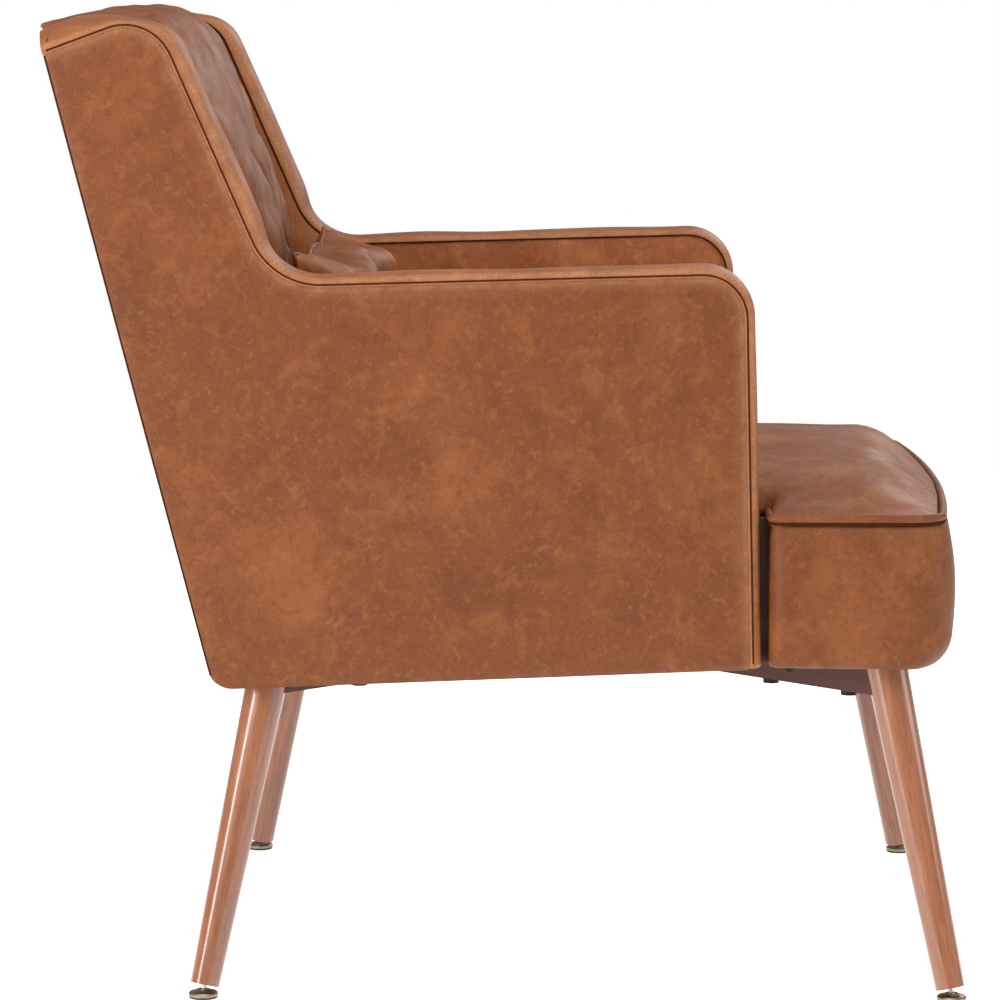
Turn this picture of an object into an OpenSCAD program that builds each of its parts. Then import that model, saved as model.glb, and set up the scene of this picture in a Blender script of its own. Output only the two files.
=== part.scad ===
// Upholstered armchair with raked wing sides, a T-shaped tight seat and splayed turned legs.
// +Z is up, the chair faces -Y, and the origin is on the floor below the middle of the chair.

/* [Body] */
// Width over the outer side panels
body_w = 602; // [580:1:620]
// Thickness of an arm, from the inner to the outer panel
arm_w = 61; // [55:1:70]
// Height of the side panels' lower edge at the origin
underside_z = 276; // [265:1:290]
// Height of the underside of the wooden frame
frame_z = 284; // [280:1:290]
// Lean of the back away from upright, in degrees
back_rake = 14.4; // [12:0.1:17]
// Height of the arm top at its front end
arm_z = 618; // [600:1:630]
// Crown of the facing strips above the side panels' edges
strip_crown = 9; // [6:1:12]

/* [Seat] */
// Width of the seat in front of the arms
seat_w = 592; // [560:1:600]
// Foremost line of the seat top at the middle
seat_front_y = -382; // [-395:1:-370]
// Height of the welt above the floor
welt_z = 408; // [400:1:416]
// Rise of the seat top above the welt
seat_dome = 44; // [30:1:50]
// Diameter of the welt
welt_d = 8; // [6:1:10]

/* [Back] */
// Thickness of the upholstered back, square to its lean
back_t = 112; // [100:1:116]
// Height of the crest of the back
back_top_z = 840; // [830:1:850]

/* [Legs] */
// Distance between the glides across the chair
glide_span_x = 610; // [590:1:630]
// Distance between the front and rear glides
glide_span_y = 636; // [620:1:650]
// Outward lean of a leg sideways, and as much again fore and aft, per unit of height
leg_splay = 0.2; // [0.15:0.01:0.22]
// Diameter of a leg at its top
leg_top_d = 36; // [32:1:40]
// Diameter of a leg at its foot
leg_foot_d = 25; // [22:1:27]
// Diameter of a glide
glide_d = 25; // [22:1:28]
// Depth of the bars of the underframe
bar_h = 29; // [26:1:36]

/* [Pillow] */
// Width of the lumbar pillow
pillow_w = 404; // [360:1:430]
// Height of the lumbar pillow along its lean
pillow_h = 180; // [160:1:190]
// Thickness of the lumbar pillow
pillow_t = 104; // [80:1:110]

/* [Hidden] */
$fn = 48;
LEFT = 1;
RIGHT = -1;
FRONT = -1;
REAR = 1;
reach = 1000;                       // longer than the chair, for cutting tools
arc_steps = 6;                      // straight pieces in a rounded corner
cover_t = 3;                        // leather with its backing
clear = 0.3;                        // space left beside a piece that passes another
over = 1;                           // how far a cutting tool runs past the face it cuts

// Side panel outline, as [y, z] lines that meet at corners
half_w = body_w / 2;
arm_inner_x = half_w - arm_w;
underside_slope = 0.03;
rake = tan(back_rake);
rear_foot_y = 249.5;
rear_foot_z = underside_z - underside_slope * rear_foot_y;
function rear_y(z) = rear_foot_y + rake * (z - rear_foot_z);
function underside_at(y) = underside_z - underside_slope * y;
wing_rear_z = 801;
wing_corner = [294, 835];
crook = [195, arm_z - 11];
arm_front_top = [-201, arm_z];
arm_front_foot_y = -209;
SIDE_CORNERS = [
    [rear_foot_y, rear_foot_z, 22],
    [rear_y(wing_rear_z), wing_rear_z, 6],
    [wing_corner[0], wing_corner[1], 42],
    [crook[0], crook[1], 60],
    [arm_front_top[0], arm_front_top[1], 38],
    [arm_front_foot_y, underside_at(arm_front_foot_y), 8]
];

// Frame
board_t = 26;
board_x = half_w - cover_t - board_t;
rail_h = 48;
rail_z0 = 2;
rail_z1 = rail_z0 + rail_h;
front_rail_y = -366;
front_rail_t = 25;
rear_rail_y = 206;
rear_rail_t = 28;
post_depth = 45;
front_post_w = 55;
padding_z0 = frame_z + rail_z1 + 6; // foot of the side padding
padding_tuck = 20;                  // how far the side padding runs behind the face of the back
arm_rail_h = 46;
arm_end_y = 150;
frame_inset = 3;
block_leg = 215;
block_t = 18;
strip_rear_gap = 20;
back_frame_t = 30;
back_frame_y = -cover_t - 1;
back_frame_clear = 6;
top_rail_z = [748, 790];
lumbar_rail_z = [400, 440];
strap_w = 50;
strap_t = 3;
strap_pitch = 105;
spring_count = 5;
spring_pitch = 88;
spring_wire = 3.5;
spring_swing = 22;
spring_loops = 9;
spring_steps = 8;                   // straight pieces in one loop
spring_slant = 1.6;                 // widening that keeps the wire's width on its slanting runs
spring_z = rail_z1 + 1.5;
foam_z = spring_z + spring_wire + 1;

// Seat
seat_corner_r = 30;
seat_bow = 16;
seat_back_y = 168;
seat_notch_y = -223;
seat_inner_x = arm_inner_x - 4;
border_bulge = 8;
border_t = 4;
border_inset = 14;
welt_lip = 2;                       // height of the seat top where it meets the welt
seat_lap = 60;                      // overlap of the seat's two rectangles
dome_run = 68;
dome_arch = 2.1;
dome_steps = 8;
bow_steps = 8;

// Back
back_half_w = arm_inner_x - 2;
back_foot_z = 415;
back_cover_z0 = 9;
back_cover_rear = 3.2;              // how far its cover stays ahead of the outside cover
back_top_fall = 23;                 // fall of the top from its crest to its rear edge
back_crest_at = 0.45;               // place of the crest, as a share of the back's thickness
back_crest_r = 80;
back_front_r = 50;
back_edge_r = 8;
back_foot_r = 2;
foam_rear_y = -40;

// Pillow, as layers of [thickness, width, height] shares that its skin spans
pillow_z = 543;
pillow_clear = 0.8;
pillow_corner_r = 14;
PILLOW_LAYERS = [[0.06, 1, 1], [0.72, 0.84, 0.7], [1, 0.56, 0.36]];

// Underframe and legs
glide_x = glide_span_x / 2;
glide_y = glide_span_y / 2;
glide_mid_y = -60;
ball_z = 5.2;
leg_lean = atan(leg_splay * sqrt(2));
leg_gap = 6;
leg_len = 310;
leg_taper_len = 280;
leg_top_x = glide_x - leg_splay * (frame_z - ball_z);
leg_top_y = glide_y - leg_splay * (frame_z - ball_z);
bar_w = 32;
bar_len = sqrt(leg_top_x * leg_top_x + leg_top_y * leg_top_y);
FRONT_BOLTS = [0.645, 0.89];        // places of the upright bolts along a front arm of a bar
REAR_BOLTS = [0.728];               // and along a rear arm
front_barrel = 0.74;                // place of the barrel nut along a front arm
rear_barrel = 0.8;                  // and along a rear arm
leg_bolt_side = 9.5;                // places the leg bolts beside the upright bolts
bolt_d = 8;
bolt_hole_d = 8.4;
barrel_reach = 14;                  // how far a leg bolt's hole runs past its barrel nut
leg_bolt_depth = 6;                 // how far a leg bolt runs past the leg's middle
bolt_head_d = 14;
bolt_head_h = 6;
tee_nut_d = 10;
tee_nut_up = 4;                     // height of a tee nut's lower end in its block
tee_flange_d = 22;
tee_flange_t = 2;
barrel_d = 11;

// Glides
pad_t = 1.8;
base_t = 2.2;
base_top = 7.2;
base_boss_r = 5.5;
ball_r = 3.2;
running = 0.05;
neck_r = 2;
stem_r = 3;
neck_len = 5.5;
stem_len = 30;
sleeve_r = 5;
sleeve_len = 18;
stem_hole_len = 34;
stem_hole_r = 3.5;
pad_inset = 0.5;                    // how far the pad stays inside its base's edge
base_bevel = 1;

// ---- helpers ----

// Direction from point a to point b, as a unit vector
function toward(a, b) = (b - a) / norm(b - a);

// Points of the arc that rounds corner p, between its neighbours a and b, to radius r
function corner_arc(a, p, b, r) =
    let (
        u = toward(p, a),
        v = toward(p, b),
        half = acos(u * v) / 2,
        centre = p + (u + v) / norm(u + v) * r / sin(half),
        first = p + u * r / tan(half) - centre,
        last = p + v * r / tan(half) - centre
    )
    [for (i = [0 : arc_steps])
        let (m = first * (1 - i / arc_steps) + last * i / arc_steps)
        centre + m / norm(m) * r];

// Outline through corners given as [a, b, radius]
function rounded(corners) =
    let (n = len(corners), flat = [for (c = corners) [c[0], c[1]]])
    [for (i = [0 : n - 1])
        each corner_arc(flat[(i + n - 1) % n], flat[i], flat[(i + 1) % n], corners[i][2])];

// Upright slab from x0 to x1 whose outline is drawn in [y, z]
module slab(x0, x1) {
    translate([x0, 0, 0])
        rotate([90, 0, 90])
            linear_extrude(height = x1 - x0)
                children();
}

// Box between two opposite corners
module box(low, high) {
    translate(low)
        cube(high - low);
}

// Left pieces are drawn as they are, right ones mirrored
module on_side(side) {
    if (side == LEFT) children();
    else mirror([1, 0, 0]) children();
}

// Frame whose z = 0 plane is the level underside of the wooden frame
module on_frame() {
    translate([0, 0, frame_z])
        children();
}

// Frame whose y = 0 plane is the rear face of the back, z running up the back
module on_back() {
    translate([0, rear_foot_y, rear_foot_z])
        rotate([-back_rake, 0, 0])
            children();
}
function up_back(z) = (z - rear_foot_z) / cos(back_rake);

// Frame on a leg's axis: origin at the glide's ball, z up the leg
module on_leg(side, end) {
    translate([side * glide_x, glide_mid_y + end * glide_y, ball_z])
        rotate([0, leg_lean, atan2(-end, -side)])
            children();
}

// Frame along one arm of the underframe: x runs from the middle of the chair to a leg
module on_arm(side, end) {
    on_frame()
        translate([0, glide_mid_y, 0])
            rotate([0, 0, atan2(end * leg_top_y, side * leg_top_x)])
                children();
}

module at_each_leg() {
    for (side = [RIGHT, LEFT], end = [FRONT, REAR])
        on_leg(side, end) children();
}

function barrel_x(end) = bar_len * (end == FRONT ? front_barrel : rear_barrel);

module at_each_bolt() {
    for (side = [RIGHT, LEFT], end = [FRONT, REAR])
        for (place = end == FRONT ? FRONT_BOLTS : REAR_BOLTS)
            on_arm(side, end) translate([place * bar_len, 0, 0]) children();
}

// ---- outlines of the body ----

module side_outline(grow = 0) {
    offset(delta = grow)
        polygon(rounded(SIDE_CORNERS));
}

// Everything ahead of a line parallel to the rear face and above the seat frame
module padded_zone() {
    behind = back_t - padding_tuck;
    polygon([
        [rear_y(padding_z0) - behind, padding_z0], [rear_y(reach) - behind, reach],
        [-reach, reach], [-reach, padding_z0]
    ]);
}

// Everything above the underside and ahead of the rear face, well ahead of it below the wing's end
module strip_zone() {
    foot_z = arm_z / 2;
    end_z = wing_rear_z - strip_crown;
    polygon([
        [0, underside_at(0)], [0, foot_z],
        [rear_y(foot_z) - strip_rear_gap, foot_z], [rear_y(end_z) - strip_rear_gap, end_z],
        [rear_y(end_z), end_z], [rear_y(reach), reach],
        [-reach, reach], [-reach, underside_at(-reach)]
    ]);
}

// A band of the side outline between two distances ahead of the rear face and two heights
module side_band(ahead0, ahead1, z0, z1) {
    intersection() {
        side_outline(-frame_inset);
        polygon([
            [rear_y(z0) - ahead0, z0], [rear_y(z1) - ahead0, z1],
            [rear_y(z1) - ahead1, z1], [rear_y(z0) - ahead1, z0]
        ]);
    }
}

// Outline of the upholstered back, without the outside cover
module back_outline(inset = 0) {
    ahead = back_t / cos(back_rake);
    behind = back_cover_rear / cos(back_rake);
    rear_top = back_top_z - back_top_fall;
    offset(delta = -inset)
        polygon(rounded([
            [rear_y(back_foot_z) - behind, back_foot_z, back_foot_r],
            [rear_y(rear_top) - behind, rear_top, back_edge_r],
            [rear_y(back_top_z) - ahead * back_crest_at, back_top_z, back_crest_r],
            [rear_y(back_top_z) - ahead, back_top_z, back_front_r],
            [rear_y(back_foot_z) - ahead, back_foot_z, back_foot_r]
        ]));
}

// ---- seat shapes ----

function bow_y(x, half) = seat_front_y + seat_bow * pow(x / half, 2);

// Outline of the seat ahead of the arms, with a bowed front between rounded corners
module seat_front_outline(grow = 0) {
    half = seat_w / 2;
    square_x = half - seat_corner_r;
    bow = [for (i = [-bow_steps / 2 : bow_steps / 2])
        let (x = 2 * square_x * i / bow_steps) [x, bow_y(x, half)]];
    corner_y = bow_y(square_x, half) + seat_corner_r;
    right_corner = [for (i = [arc_steps : -1 : 1])
        let (a = 90 * i / arc_steps)
        [-square_x - seat_corner_r * sin(a), corner_y - seat_corner_r * cos(a)]];
    left_corner = [for (i = [1 : arc_steps])
        let (a = 90 * i / arc_steps)
        [square_x + seat_corner_r * sin(a), corner_y - seat_corner_r * cos(a)]];
    intersection() {
        offset(delta = grow)
            polygon(concat(right_corner, bow, left_corner, [[half, 0], [-half, 0]]));
        translate([-reach, seat_notch_y - reach])
            square([2 * reach, reach]);
    }
}

// Plan of the whole T-shaped seat
module seat_plan(inset = 0) {
    seat_front_outline(-inset);
    translate([-seat_inner_x + inset, seat_notch_y - seat_lap])
        square([2 * (seat_inner_x - inset), seat_back_y - inset - seat_notch_y + seat_lap]);
}

// Domed top of the seat, lowered by drop and trimmed to the plan by inset
module seat_crown(inset, drop, z0) {
    half = seat_w / 2;
    top = welt_z + seat_dome - drop;
    across = [for (i = [-dome_steps : dome_steps])
        let (t = i / dome_steps) [t * half, top - seat_dome * pow(abs(t), dome_arch) + welt_lip]];
    along = [for (i = [0 : dome_steps])
        let (t = i / dome_steps)
        [seat_front_y + dome_run * t, top - seat_dome * (1 - sin(90 * t)) + welt_lip]];
    intersection() {
        translate([0, 0, z0])
            linear_extrude(height = reach)
                seat_plan(inset);
        translate([0, reach, 0])
            rotate([90, 0, 0])
                linear_extrude(height = 2 * reach)
                    polygon(concat([[-half, 0]], across, [[half, 0]]));
        slab(-reach, reach)
            polygon(concat([[seat_front_y, 0]], along, [[reach, top + welt_lip], [reach, 0]]));
    }
}

// Straight-sided ring of the seat front between two growths of its outline, cut off above the underside
module seat_ring(outer, inner, z1, above) {
    difference() {
        linear_extrude(height = z1)
            difference() {
                seat_front_outline(outer);
                seat_front_outline(inner);
            }
        on_frame() box([-reach, -reach, -reach], [reach, reach, above]);
    }
}

// ---- legs, underframe and hardware ----

module leg_cone() {
    foot_r = leg_foot_d / 2;
    taper = (leg_top_d - leg_foot_d) / 2 / leg_taper_len;
    translate([0, 0, leg_gap])
        cylinder(h = leg_len, r1 = foot_r, r2 = foot_r + taper * leg_len);
}

module leg_bolt_line(d, from, to) {
    translate([from, leg_bolt_side, -bar_h / 2])
        rotate([0, 90, 0])
            cylinder(h = to - from, d = d);
}

module leg(side, end) {
    color("#b0704a")
    difference() {
        on_leg(side, end) leg_cone();
        on_frame() box([-reach, -reach, 0], [reach, reach, reach]);
        on_leg(side, end) cylinder(h = leg_gap + sleeve_len, r = sleeve_r);
        on_leg(side, end) cylinder(h = stem_hole_len, r = stem_hole_r);
        leg_bolt_lines(bolt_d, 0);
    }
}

// One bar of the underframe, in the frame of its arm, with its lap at the top or the bottom
module underframe_bar(side, lap_z) {
    color("#6b3a22")
    difference() {
        on_arm(side, FRONT) box([-bar_len, -bar_w / 2, -bar_h], [bar_len, bar_w / 2, 0]);
        on_arm(-side, FRONT) box([-bar_w * 2, -bar_w / 2, lap_z], [bar_w * 2, bar_w / 2, lap_z + bar_h / 2]);
        at_each_leg() leg_cone();
        at_each_bolt() translate([0, 0, -bar_h - over]) cylinder(h = bar_h + 2 * over, d = bolt_hole_d);
        leg_bolt_lines(bolt_hole_d, barrel_reach);
        barrel_nut_blanks();
    }
}

// Rods along all four arms, from a reach short of the barrel nuts into the legs
module leg_bolt_lines(d, reach_back) {
    for (side = [RIGHT, LEFT], end = [FRONT, REAR])
        on_arm(side, end)
            leg_bolt_line(d, barrel_x(end) - reach_back, bar_len + leg_bolt_depth);
}

module barrel_nut_blanks() {
    for (side = [RIGHT, LEFT], end = [FRONT, REAR])
        on_arm(side, end)
            translate([barrel_x(end), bar_w / 2, -bar_h / 2])
                rotate([90, 0, 0])
                    cylinder(h = bar_w, d = barrel_d);
}

module underframe_bolts() {
    color("#1a1a1a")
    at_each_bolt() {
        translate([0, 0, -bar_h - bolt_head_h]) cylinder(h = bolt_head_h, d = bolt_head_d);
        translate([0, 0, -bar_h - over]) cylinder(h = bar_h + over + rail_z0 + block_t, d = bolt_d);
    }
}

module tee_nuts() {
    color("silver")
    at_each_bolt()
        difference() {
            translate([0, 0, rail_z0 + tee_nut_up]) {
                cylinder(h = block_t - tee_nut_up, d = tee_nut_d);
                translate([0, 0, block_t - tee_nut_up]) cylinder(h = tee_flange_t, d = tee_flange_d);
            }
            cylinder(h = reach, d = bolt_d + 2 * running);
        }
}

module leg_bolts() {
    color("#2a2a2a")
    leg_bolt_lines(bolt_d, barrel_reach - 2);
}

module barrel_nuts() {
    color("#1a1a1a")
    difference() {
        barrel_nut_blanks();
        leg_bolt_lines(bolt_d + 2 * running, barrel_reach);
    }
}

module glide_sleeves() {
    color("silver")
    at_each_leg()
        translate([0, 0, leg_gap])
            difference() {
                cylinder(h = sleeve_len, r = sleeve_r);
                translate([0, 0, -over]) cylinder(h = sleeve_len + 2 * over, r = stem_r + running);
            }
}

module glide_stem(side, end) {
    color("silver")
    on_leg(side, end) {
        sphere(r = ball_r);
        cylinder(h = neck_len, r = neck_r);
        translate([0, 0, neck_len]) cylinder(h = stem_len - neck_len, r = stem_r);
    }
}

module glide_base(side, end) {
    r = glide_d / 2;
    color("#8a7a60")
    translate([side * glide_x, glide_mid_y + end * glide_y, 0])
        difference() {
            rotate_extrude()
                polygon([
                    [0, pad_t], [r, pad_t],
                    [r, pad_t + base_t], [r - base_bevel, pad_t + base_t + base_bevel],
                    [base_boss_r + base_bevel, base_top - base_bevel], [base_boss_r, base_top], [0, base_top]
                ]);
            translate([0, 0, ball_z]) sphere(r = ball_r + running);
            translate([0, 0, ball_z]) cylinder(h = neck_len, r1 = neck_r, r2 = neck_r + neck_len);
        }
}

module glide_pad(side, end) {
    color("#111111")
    translate([side * glide_x, glide_mid_y + end * glide_y, 0])
        cylinder(h = pad_t, r = glide_d / 2 - pad_inset);
}

// ---- wooden frame ----

// Level rail beside the seat, with a sill between the posts that follows the panel's lower edge
module seat_side_rail(side) {
    sill_y = arm_front_foot_y + front_post_w + clear;
    color("tan")
    on_side(side) {
        on_frame()
            box([arm_inner_x, front_rail_y + front_rail_t, rail_z0], [board_x, rear_rail_y, rail_z1]);
        slab(board_x, board_x + board_t)
            intersection() {
                side_band(post_depth + clear, reach, rear_foot_z - board_t, frame_z + rail_z1);
                translate([sill_y, 0]) square([reach, reach]);
            }
    }
}

module seat_front_rail() {
    half = seat_w / 2 - border_inset;
    color("tan")
    on_frame()
        translate([0, 0, rail_z0])
            linear_extrude(height = rail_h)
                intersection() {
                    seat_front_outline(-border_inset - clear);
                    translate([-half, front_rail_y]) square([2 * half, front_rail_t]);
                }
}

module seat_rear_rail() {
    color("tan")
    on_frame()
        box([-board_x, rear_rail_y, rail_z0], [board_x, rear_rail_y + rear_rail_t, rail_z1]);
}

module corner_blocks() {
    front_y = front_rail_y + front_rail_t;
    color("tan")
    difference() {
        for (side = [RIGHT, LEFT])
            on_side(side) on_frame()
                translate([0, 0, rail_z0])
                    linear_extrude(height = block_t) {
                        polygon([[arm_inner_x, front_y], [arm_inner_x - block_leg, front_y],
                                 [arm_inner_x, front_y + block_leg]]);
                        polygon([[arm_inner_x, rear_rail_y], [arm_inner_x - block_leg, rear_rail_y],
                                 [arm_inner_x, rear_rail_y - block_leg]]);
                    }
        at_each_bolt() cylinder(h = rail_z0 + tee_nut_up + over, d = bolt_hole_d);
        at_each_bolt() translate([0, 0, rail_z0 + tee_nut_up]) cylinder(h = block_t, d = tee_nut_d);
    }
}

module side_board(side) {
    color("burlywood")
    on_side(side) slab(board_x, board_x + board_t) children();
}

module rear_post(side) {
    side_board(side) side_band(frame_inset + clear, post_depth, 0, reach);
}

module arm_rail(side) {
    side_board(side)
        intersection() {
            side_outline(-frame_inset);
            translate([-reach, arm_z - arm_rail_h]) square([reach + arm_end_y, reach]);
        }
}

module wing_board(side) {
    side_board(side)
        intersection() {
            side_band(post_depth + clear, reach, arm_z - arm_rail_h, reach);
            translate([arm_end_y, 0]) square([reach, reach]);
        }
}

module front_post(side) {
    side_board(side)
        intersection() {
            side_outline(-frame_inset);
            translate([arm_front_foot_y, 0]) square([front_post_w, arm_z - arm_rail_h]);
        }
}

module back_rail(zs) {
    color("tan")
    on_back()
        box(
            [-board_x, back_frame_y - back_frame_t, up_back(zs[0])],
            [board_x, back_frame_y, up_back(zs[1])]
        );
}

module back_webbing() {
    strap_y = back_frame_y - back_frame_t - strap_t;
    color("#3a3a3a")
    on_back()
        for (i = [-1.5 : 1.5])
            translate([i * strap_pitch - strap_w / 2, strap_y, up_back(lumbar_rail_z[0])])
                cube([strap_w, strap_t, up_back(top_rail_z[1]) - up_back(lumbar_rail_z[0])]);
}

// Wire that swings from side to side on its way from the front rail to the rear rail
module sinuous_spring() {
    y0 = front_rail_y + front_rail_t / 2;
    y1 = rear_rail_y + rear_rail_t / 2;
    steps = spring_loops * spring_steps;
    path = [for (i = [0 : steps])
        [spring_swing * sin(360 * i / spring_steps), y0 + (y1 - y0) * i / steps]];
    half = spring_wire / 2 * spring_slant;
    linear_extrude(height = spring_wire)
        polygon(concat(
            [for (p = path) p - [half, 0]],
            [for (i = [steps : -1 : 0]) path[i] + [half, 0]]
        ));
}

module at_each_spring() {
    for (i = [0 : spring_count - 1])
        translate([(i - (spring_count - 1) / 2) * spring_pitch, 0, 0]) children();
}

module seat_springs() {
    color("#555555")
    on_frame() at_each_spring() translate([0, 0, spring_z]) sinuous_spring();
}

module spring_clips() {
    clip = [18, 14, 1.2];
    color("#777777")
    on_frame() at_each_spring()
        for (y = [front_rail_y + front_rail_t / 2, rear_rail_y + rear_rail_t / 2])
            translate([-clip[0] / 2, y - clip[1] / 2, rail_z1]) cube(clip);
}

// ---- padding ----

module seat_foam() {
    color("#f0e6c8")
    difference() {
        linear_extrude(height = welt_z - cover_t) seat_plan(border_inset);
        on_frame() box([-reach, -reach, -reach], [reach, reach, foam_z]);
    }
}

module seat_wadding() {
    color("white")
    seat_crown(cover_t, cover_t, welt_z - cover_t);
}

module seat_border_padding() {
    color("#f0e6c8")
    seat_ring(border_bulge - border_t, -border_inset, welt_z - welt_d / 2, rail_z0);
}

module back_foam() {
    color("#f0e6c8")
    intersection() {
        slab(-back_half_w + cover_t, back_half_w - cover_t) back_outline(cover_t);
        on_back() box([-reach, -reach, 0], [reach, foam_rear_y, reach]);
    }
}

module side_padding(side) {
    color("#f0e6c8")
    on_side(side)
        slab(arm_inner_x + cover_t, board_x)
            intersection() {
                side_outline();
                padded_zone();
            }
}

// ---- covers ----

module outer_side_cover(side) {
    color("#a5694a")
    on_side(side) slab(half_w - cover_t, half_w) side_outline();
}

module inner_side_cover(side) {
    color("#9a6040")
    on_side(side)
        slab(arm_inner_x, arm_inner_x + cover_t)
            intersection() {
                side_outline();
                padded_zone();
            }
}

// Band round a wing and arm, cut away at its foot where the seat's side rail passes
module facing_strip(side) {
    color("#b07850")
    on_side(side)
        difference() {
            slab(arm_inner_x, half_w)
                intersection() {
                    difference() {
                        side_outline(strip_crown);
                        side_outline();
                    }
                    strip_zone();
                }
            on_frame() box([0, -reach, -reach], [board_x + clear, 0, rail_z1 + clear]);
        }
}

module outside_back_cover() {
    half = half_w - cover_t;
    color("#8f5838")
    on_back()
        box([-half, -cover_t, back_cover_z0], [half, 0, up_back(wing_rear_z) - strip_crown]);
}

// Cover that runs up the front of the back and over its top, down to the back's top rail
module inside_back_cover() {
    turn_z = top_rail_z[1] + back_frame_clear;
    color("#a0653f")
    slab(-back_half_w, back_half_w)
        difference() {
            back_outline();
            difference() {
                back_outline(cover_t);
                translate([-reach, 0]) square([2 * reach, back_foot_z + cover_t]);
            }
            polygon([
                [rear_y(0) + foam_rear_y, 0], [rear_y(turn_z) + foam_rear_y, turn_z],
                [reach, turn_z], [reach, 0]
            ]);
        }
}

module seat_top_cover() {
    color("#a5694a")
    difference() {
        seat_crown(0, 0, welt_z - cover_t);
        seat_crown(cover_t, cover_t, 0);
    }
}

module seat_border_cover() {
    color("#9a6040")
    seat_ring(border_bulge, border_bulge - border_t, welt_z - welt_d / 2, 0);
}

module seat_welt() {
    color("#8a5232")
    translate([0, 0, welt_z - welt_d / 2])
        linear_extrude(height = welt_d)
            difference() {
                seat_front_outline(welt_d);
                seat_front_outline();
            }
}

module dust_cover() {
    dust_t = 1.5;
    half = board_x - clear;
    front_y = seat_notch_y - seat_lap;
    back_y = rear_rail_y + rear_rail_t;
    color("#222222")
    difference() {
        on_frame()
            linear_extrude(height = dust_t) {
                seat_front_outline(border_bulge - border_t);
                translate([-half, front_y]) square([2 * half, back_y - front_y]);
            }
        at_each_bolt() translate([0, 0, -over]) cylinder(h = dust_t + 2 * over, d = bolt_hole_d);
    }
}

// ---- lumbar pillow ----

// Rounded rectangle centred on the origin
module round_rect(w, h, r) {
    offset(r = r)
        square([w - 2 * r, h - 2 * r], center = true);
}

module lumbar_pillow() {
    ahead = back_t + pillow_clear + pillow_t / 2;
    color("#a86c48")
    on_back()
        translate([0, -ahead, up_back(pillow_z) - ahead * tan(back_rake)])
            rotate([90, 0, 0])
                hull()
                    for (layer = PILLOW_LAYERS)
                        linear_extrude(height = layer[0] * pillow_t, center = true)
                            round_rect(layer[1] * pillow_w, layer[2] * pillow_h, pillow_corner_r);
}

leg(LEFT, FRONT);  // leg_front_left
leg(RIGHT, FRONT);  // leg_front_right
leg(LEFT, REAR);  // leg_rear_left
leg(RIGHT, REAR);  // leg_rear_right
underframe_bar(LEFT, -bar_h);  // underframe_bar_upper
underframe_bar(RIGHT, -bar_h / 2);  // underframe_bar_lower
underframe_bolts();
tee_nuts();
leg_bolts();
barrel_nuts();
glide_sleeves();
glide_stem(LEFT, FRONT);  // glide_stem_front_left
glide_stem(RIGHT, FRONT);  // glide_stem_front_right
glide_stem(LEFT, REAR);  // glide_stem_rear_left
glide_stem(RIGHT, REAR);  // glide_stem_rear_right
glide_base(LEFT, FRONT);  // glide_base_front_left
glide_base(RIGHT, FRONT);  // glide_base_front_right
glide_base(LEFT, REAR);  // glide_base_rear_left
glide_base(RIGHT, REAR);  // glide_base_rear_right
glide_pad(LEFT, FRONT);  // glide_pad_front_left
glide_pad(RIGHT, FRONT);  // glide_pad_front_right
glide_pad(LEFT, REAR);  // glide_pad_rear_left
glide_pad(RIGHT, REAR);  // glide_pad_rear_right
seat_front_rail();
seat_rear_rail();
seat_side_rail(LEFT);  // seat_side_rail_left
seat_side_rail(RIGHT);  // seat_side_rail_right
corner_blocks();
front_post(LEFT);  // front_post_left
front_post(RIGHT);  // front_post_right
rear_post(LEFT);  // rear_post_left
rear_post(RIGHT);  // rear_post_right
arm_rail(LEFT);  // arm_rail_left
arm_rail(RIGHT);  // arm_rail_right
wing_board(LEFT);  // wing_board_left
wing_board(RIGHT);  // wing_board_right
back_rail(top_rail_z);  // back_top_rail
back_rail(lumbar_rail_z);  // back_lumbar_rail
back_webbing();
seat_springs();
spring_clips();
seat_foam();
seat_wadding();
seat_border_padding();
back_foam();
side_padding(LEFT);  // side_padding_left
side_padding(RIGHT);  // side_padding_right
outer_side_cover(LEFT);  // outer_side_cover_left
outer_side_cover(RIGHT);  // outer_side_cover_right
inner_side_cover(LEFT);  // inner_side_cover_left
inner_side_cover(RIGHT);  // inner_side_cover_right
facing_strip(LEFT);  // facing_strip_left
facing_strip(RIGHT);  // facing_strip_right
outside_back_cover();
inside_back_cover();
seat_top_cover();
seat_border_cover();
seat_welt();
dust_cover();
lumbar_pillow();
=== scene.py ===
"""Looks of an upholstered armchair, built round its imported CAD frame.

Lengths are millimetres until mesh_object() turns them into metres. The chair faces -Y and +Z is up.
"""
import math

import bmesh
import bpy
import numpy as np
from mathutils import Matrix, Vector
from mathutils.geometry import delaunay_2d_cdt


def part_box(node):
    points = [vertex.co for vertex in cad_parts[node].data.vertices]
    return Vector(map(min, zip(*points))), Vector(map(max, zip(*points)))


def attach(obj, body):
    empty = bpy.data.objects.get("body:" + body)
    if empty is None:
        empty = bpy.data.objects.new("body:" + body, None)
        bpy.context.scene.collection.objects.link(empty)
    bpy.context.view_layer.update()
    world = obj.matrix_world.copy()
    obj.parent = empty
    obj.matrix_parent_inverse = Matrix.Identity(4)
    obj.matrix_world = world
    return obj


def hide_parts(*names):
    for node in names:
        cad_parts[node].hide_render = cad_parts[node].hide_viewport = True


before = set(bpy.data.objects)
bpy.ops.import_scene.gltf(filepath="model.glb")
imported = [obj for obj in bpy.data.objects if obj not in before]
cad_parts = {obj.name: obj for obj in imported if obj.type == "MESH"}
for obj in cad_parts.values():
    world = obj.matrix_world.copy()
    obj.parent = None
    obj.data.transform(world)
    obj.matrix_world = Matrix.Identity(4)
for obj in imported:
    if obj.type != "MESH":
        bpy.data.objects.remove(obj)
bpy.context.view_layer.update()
MM = 0.001
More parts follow.
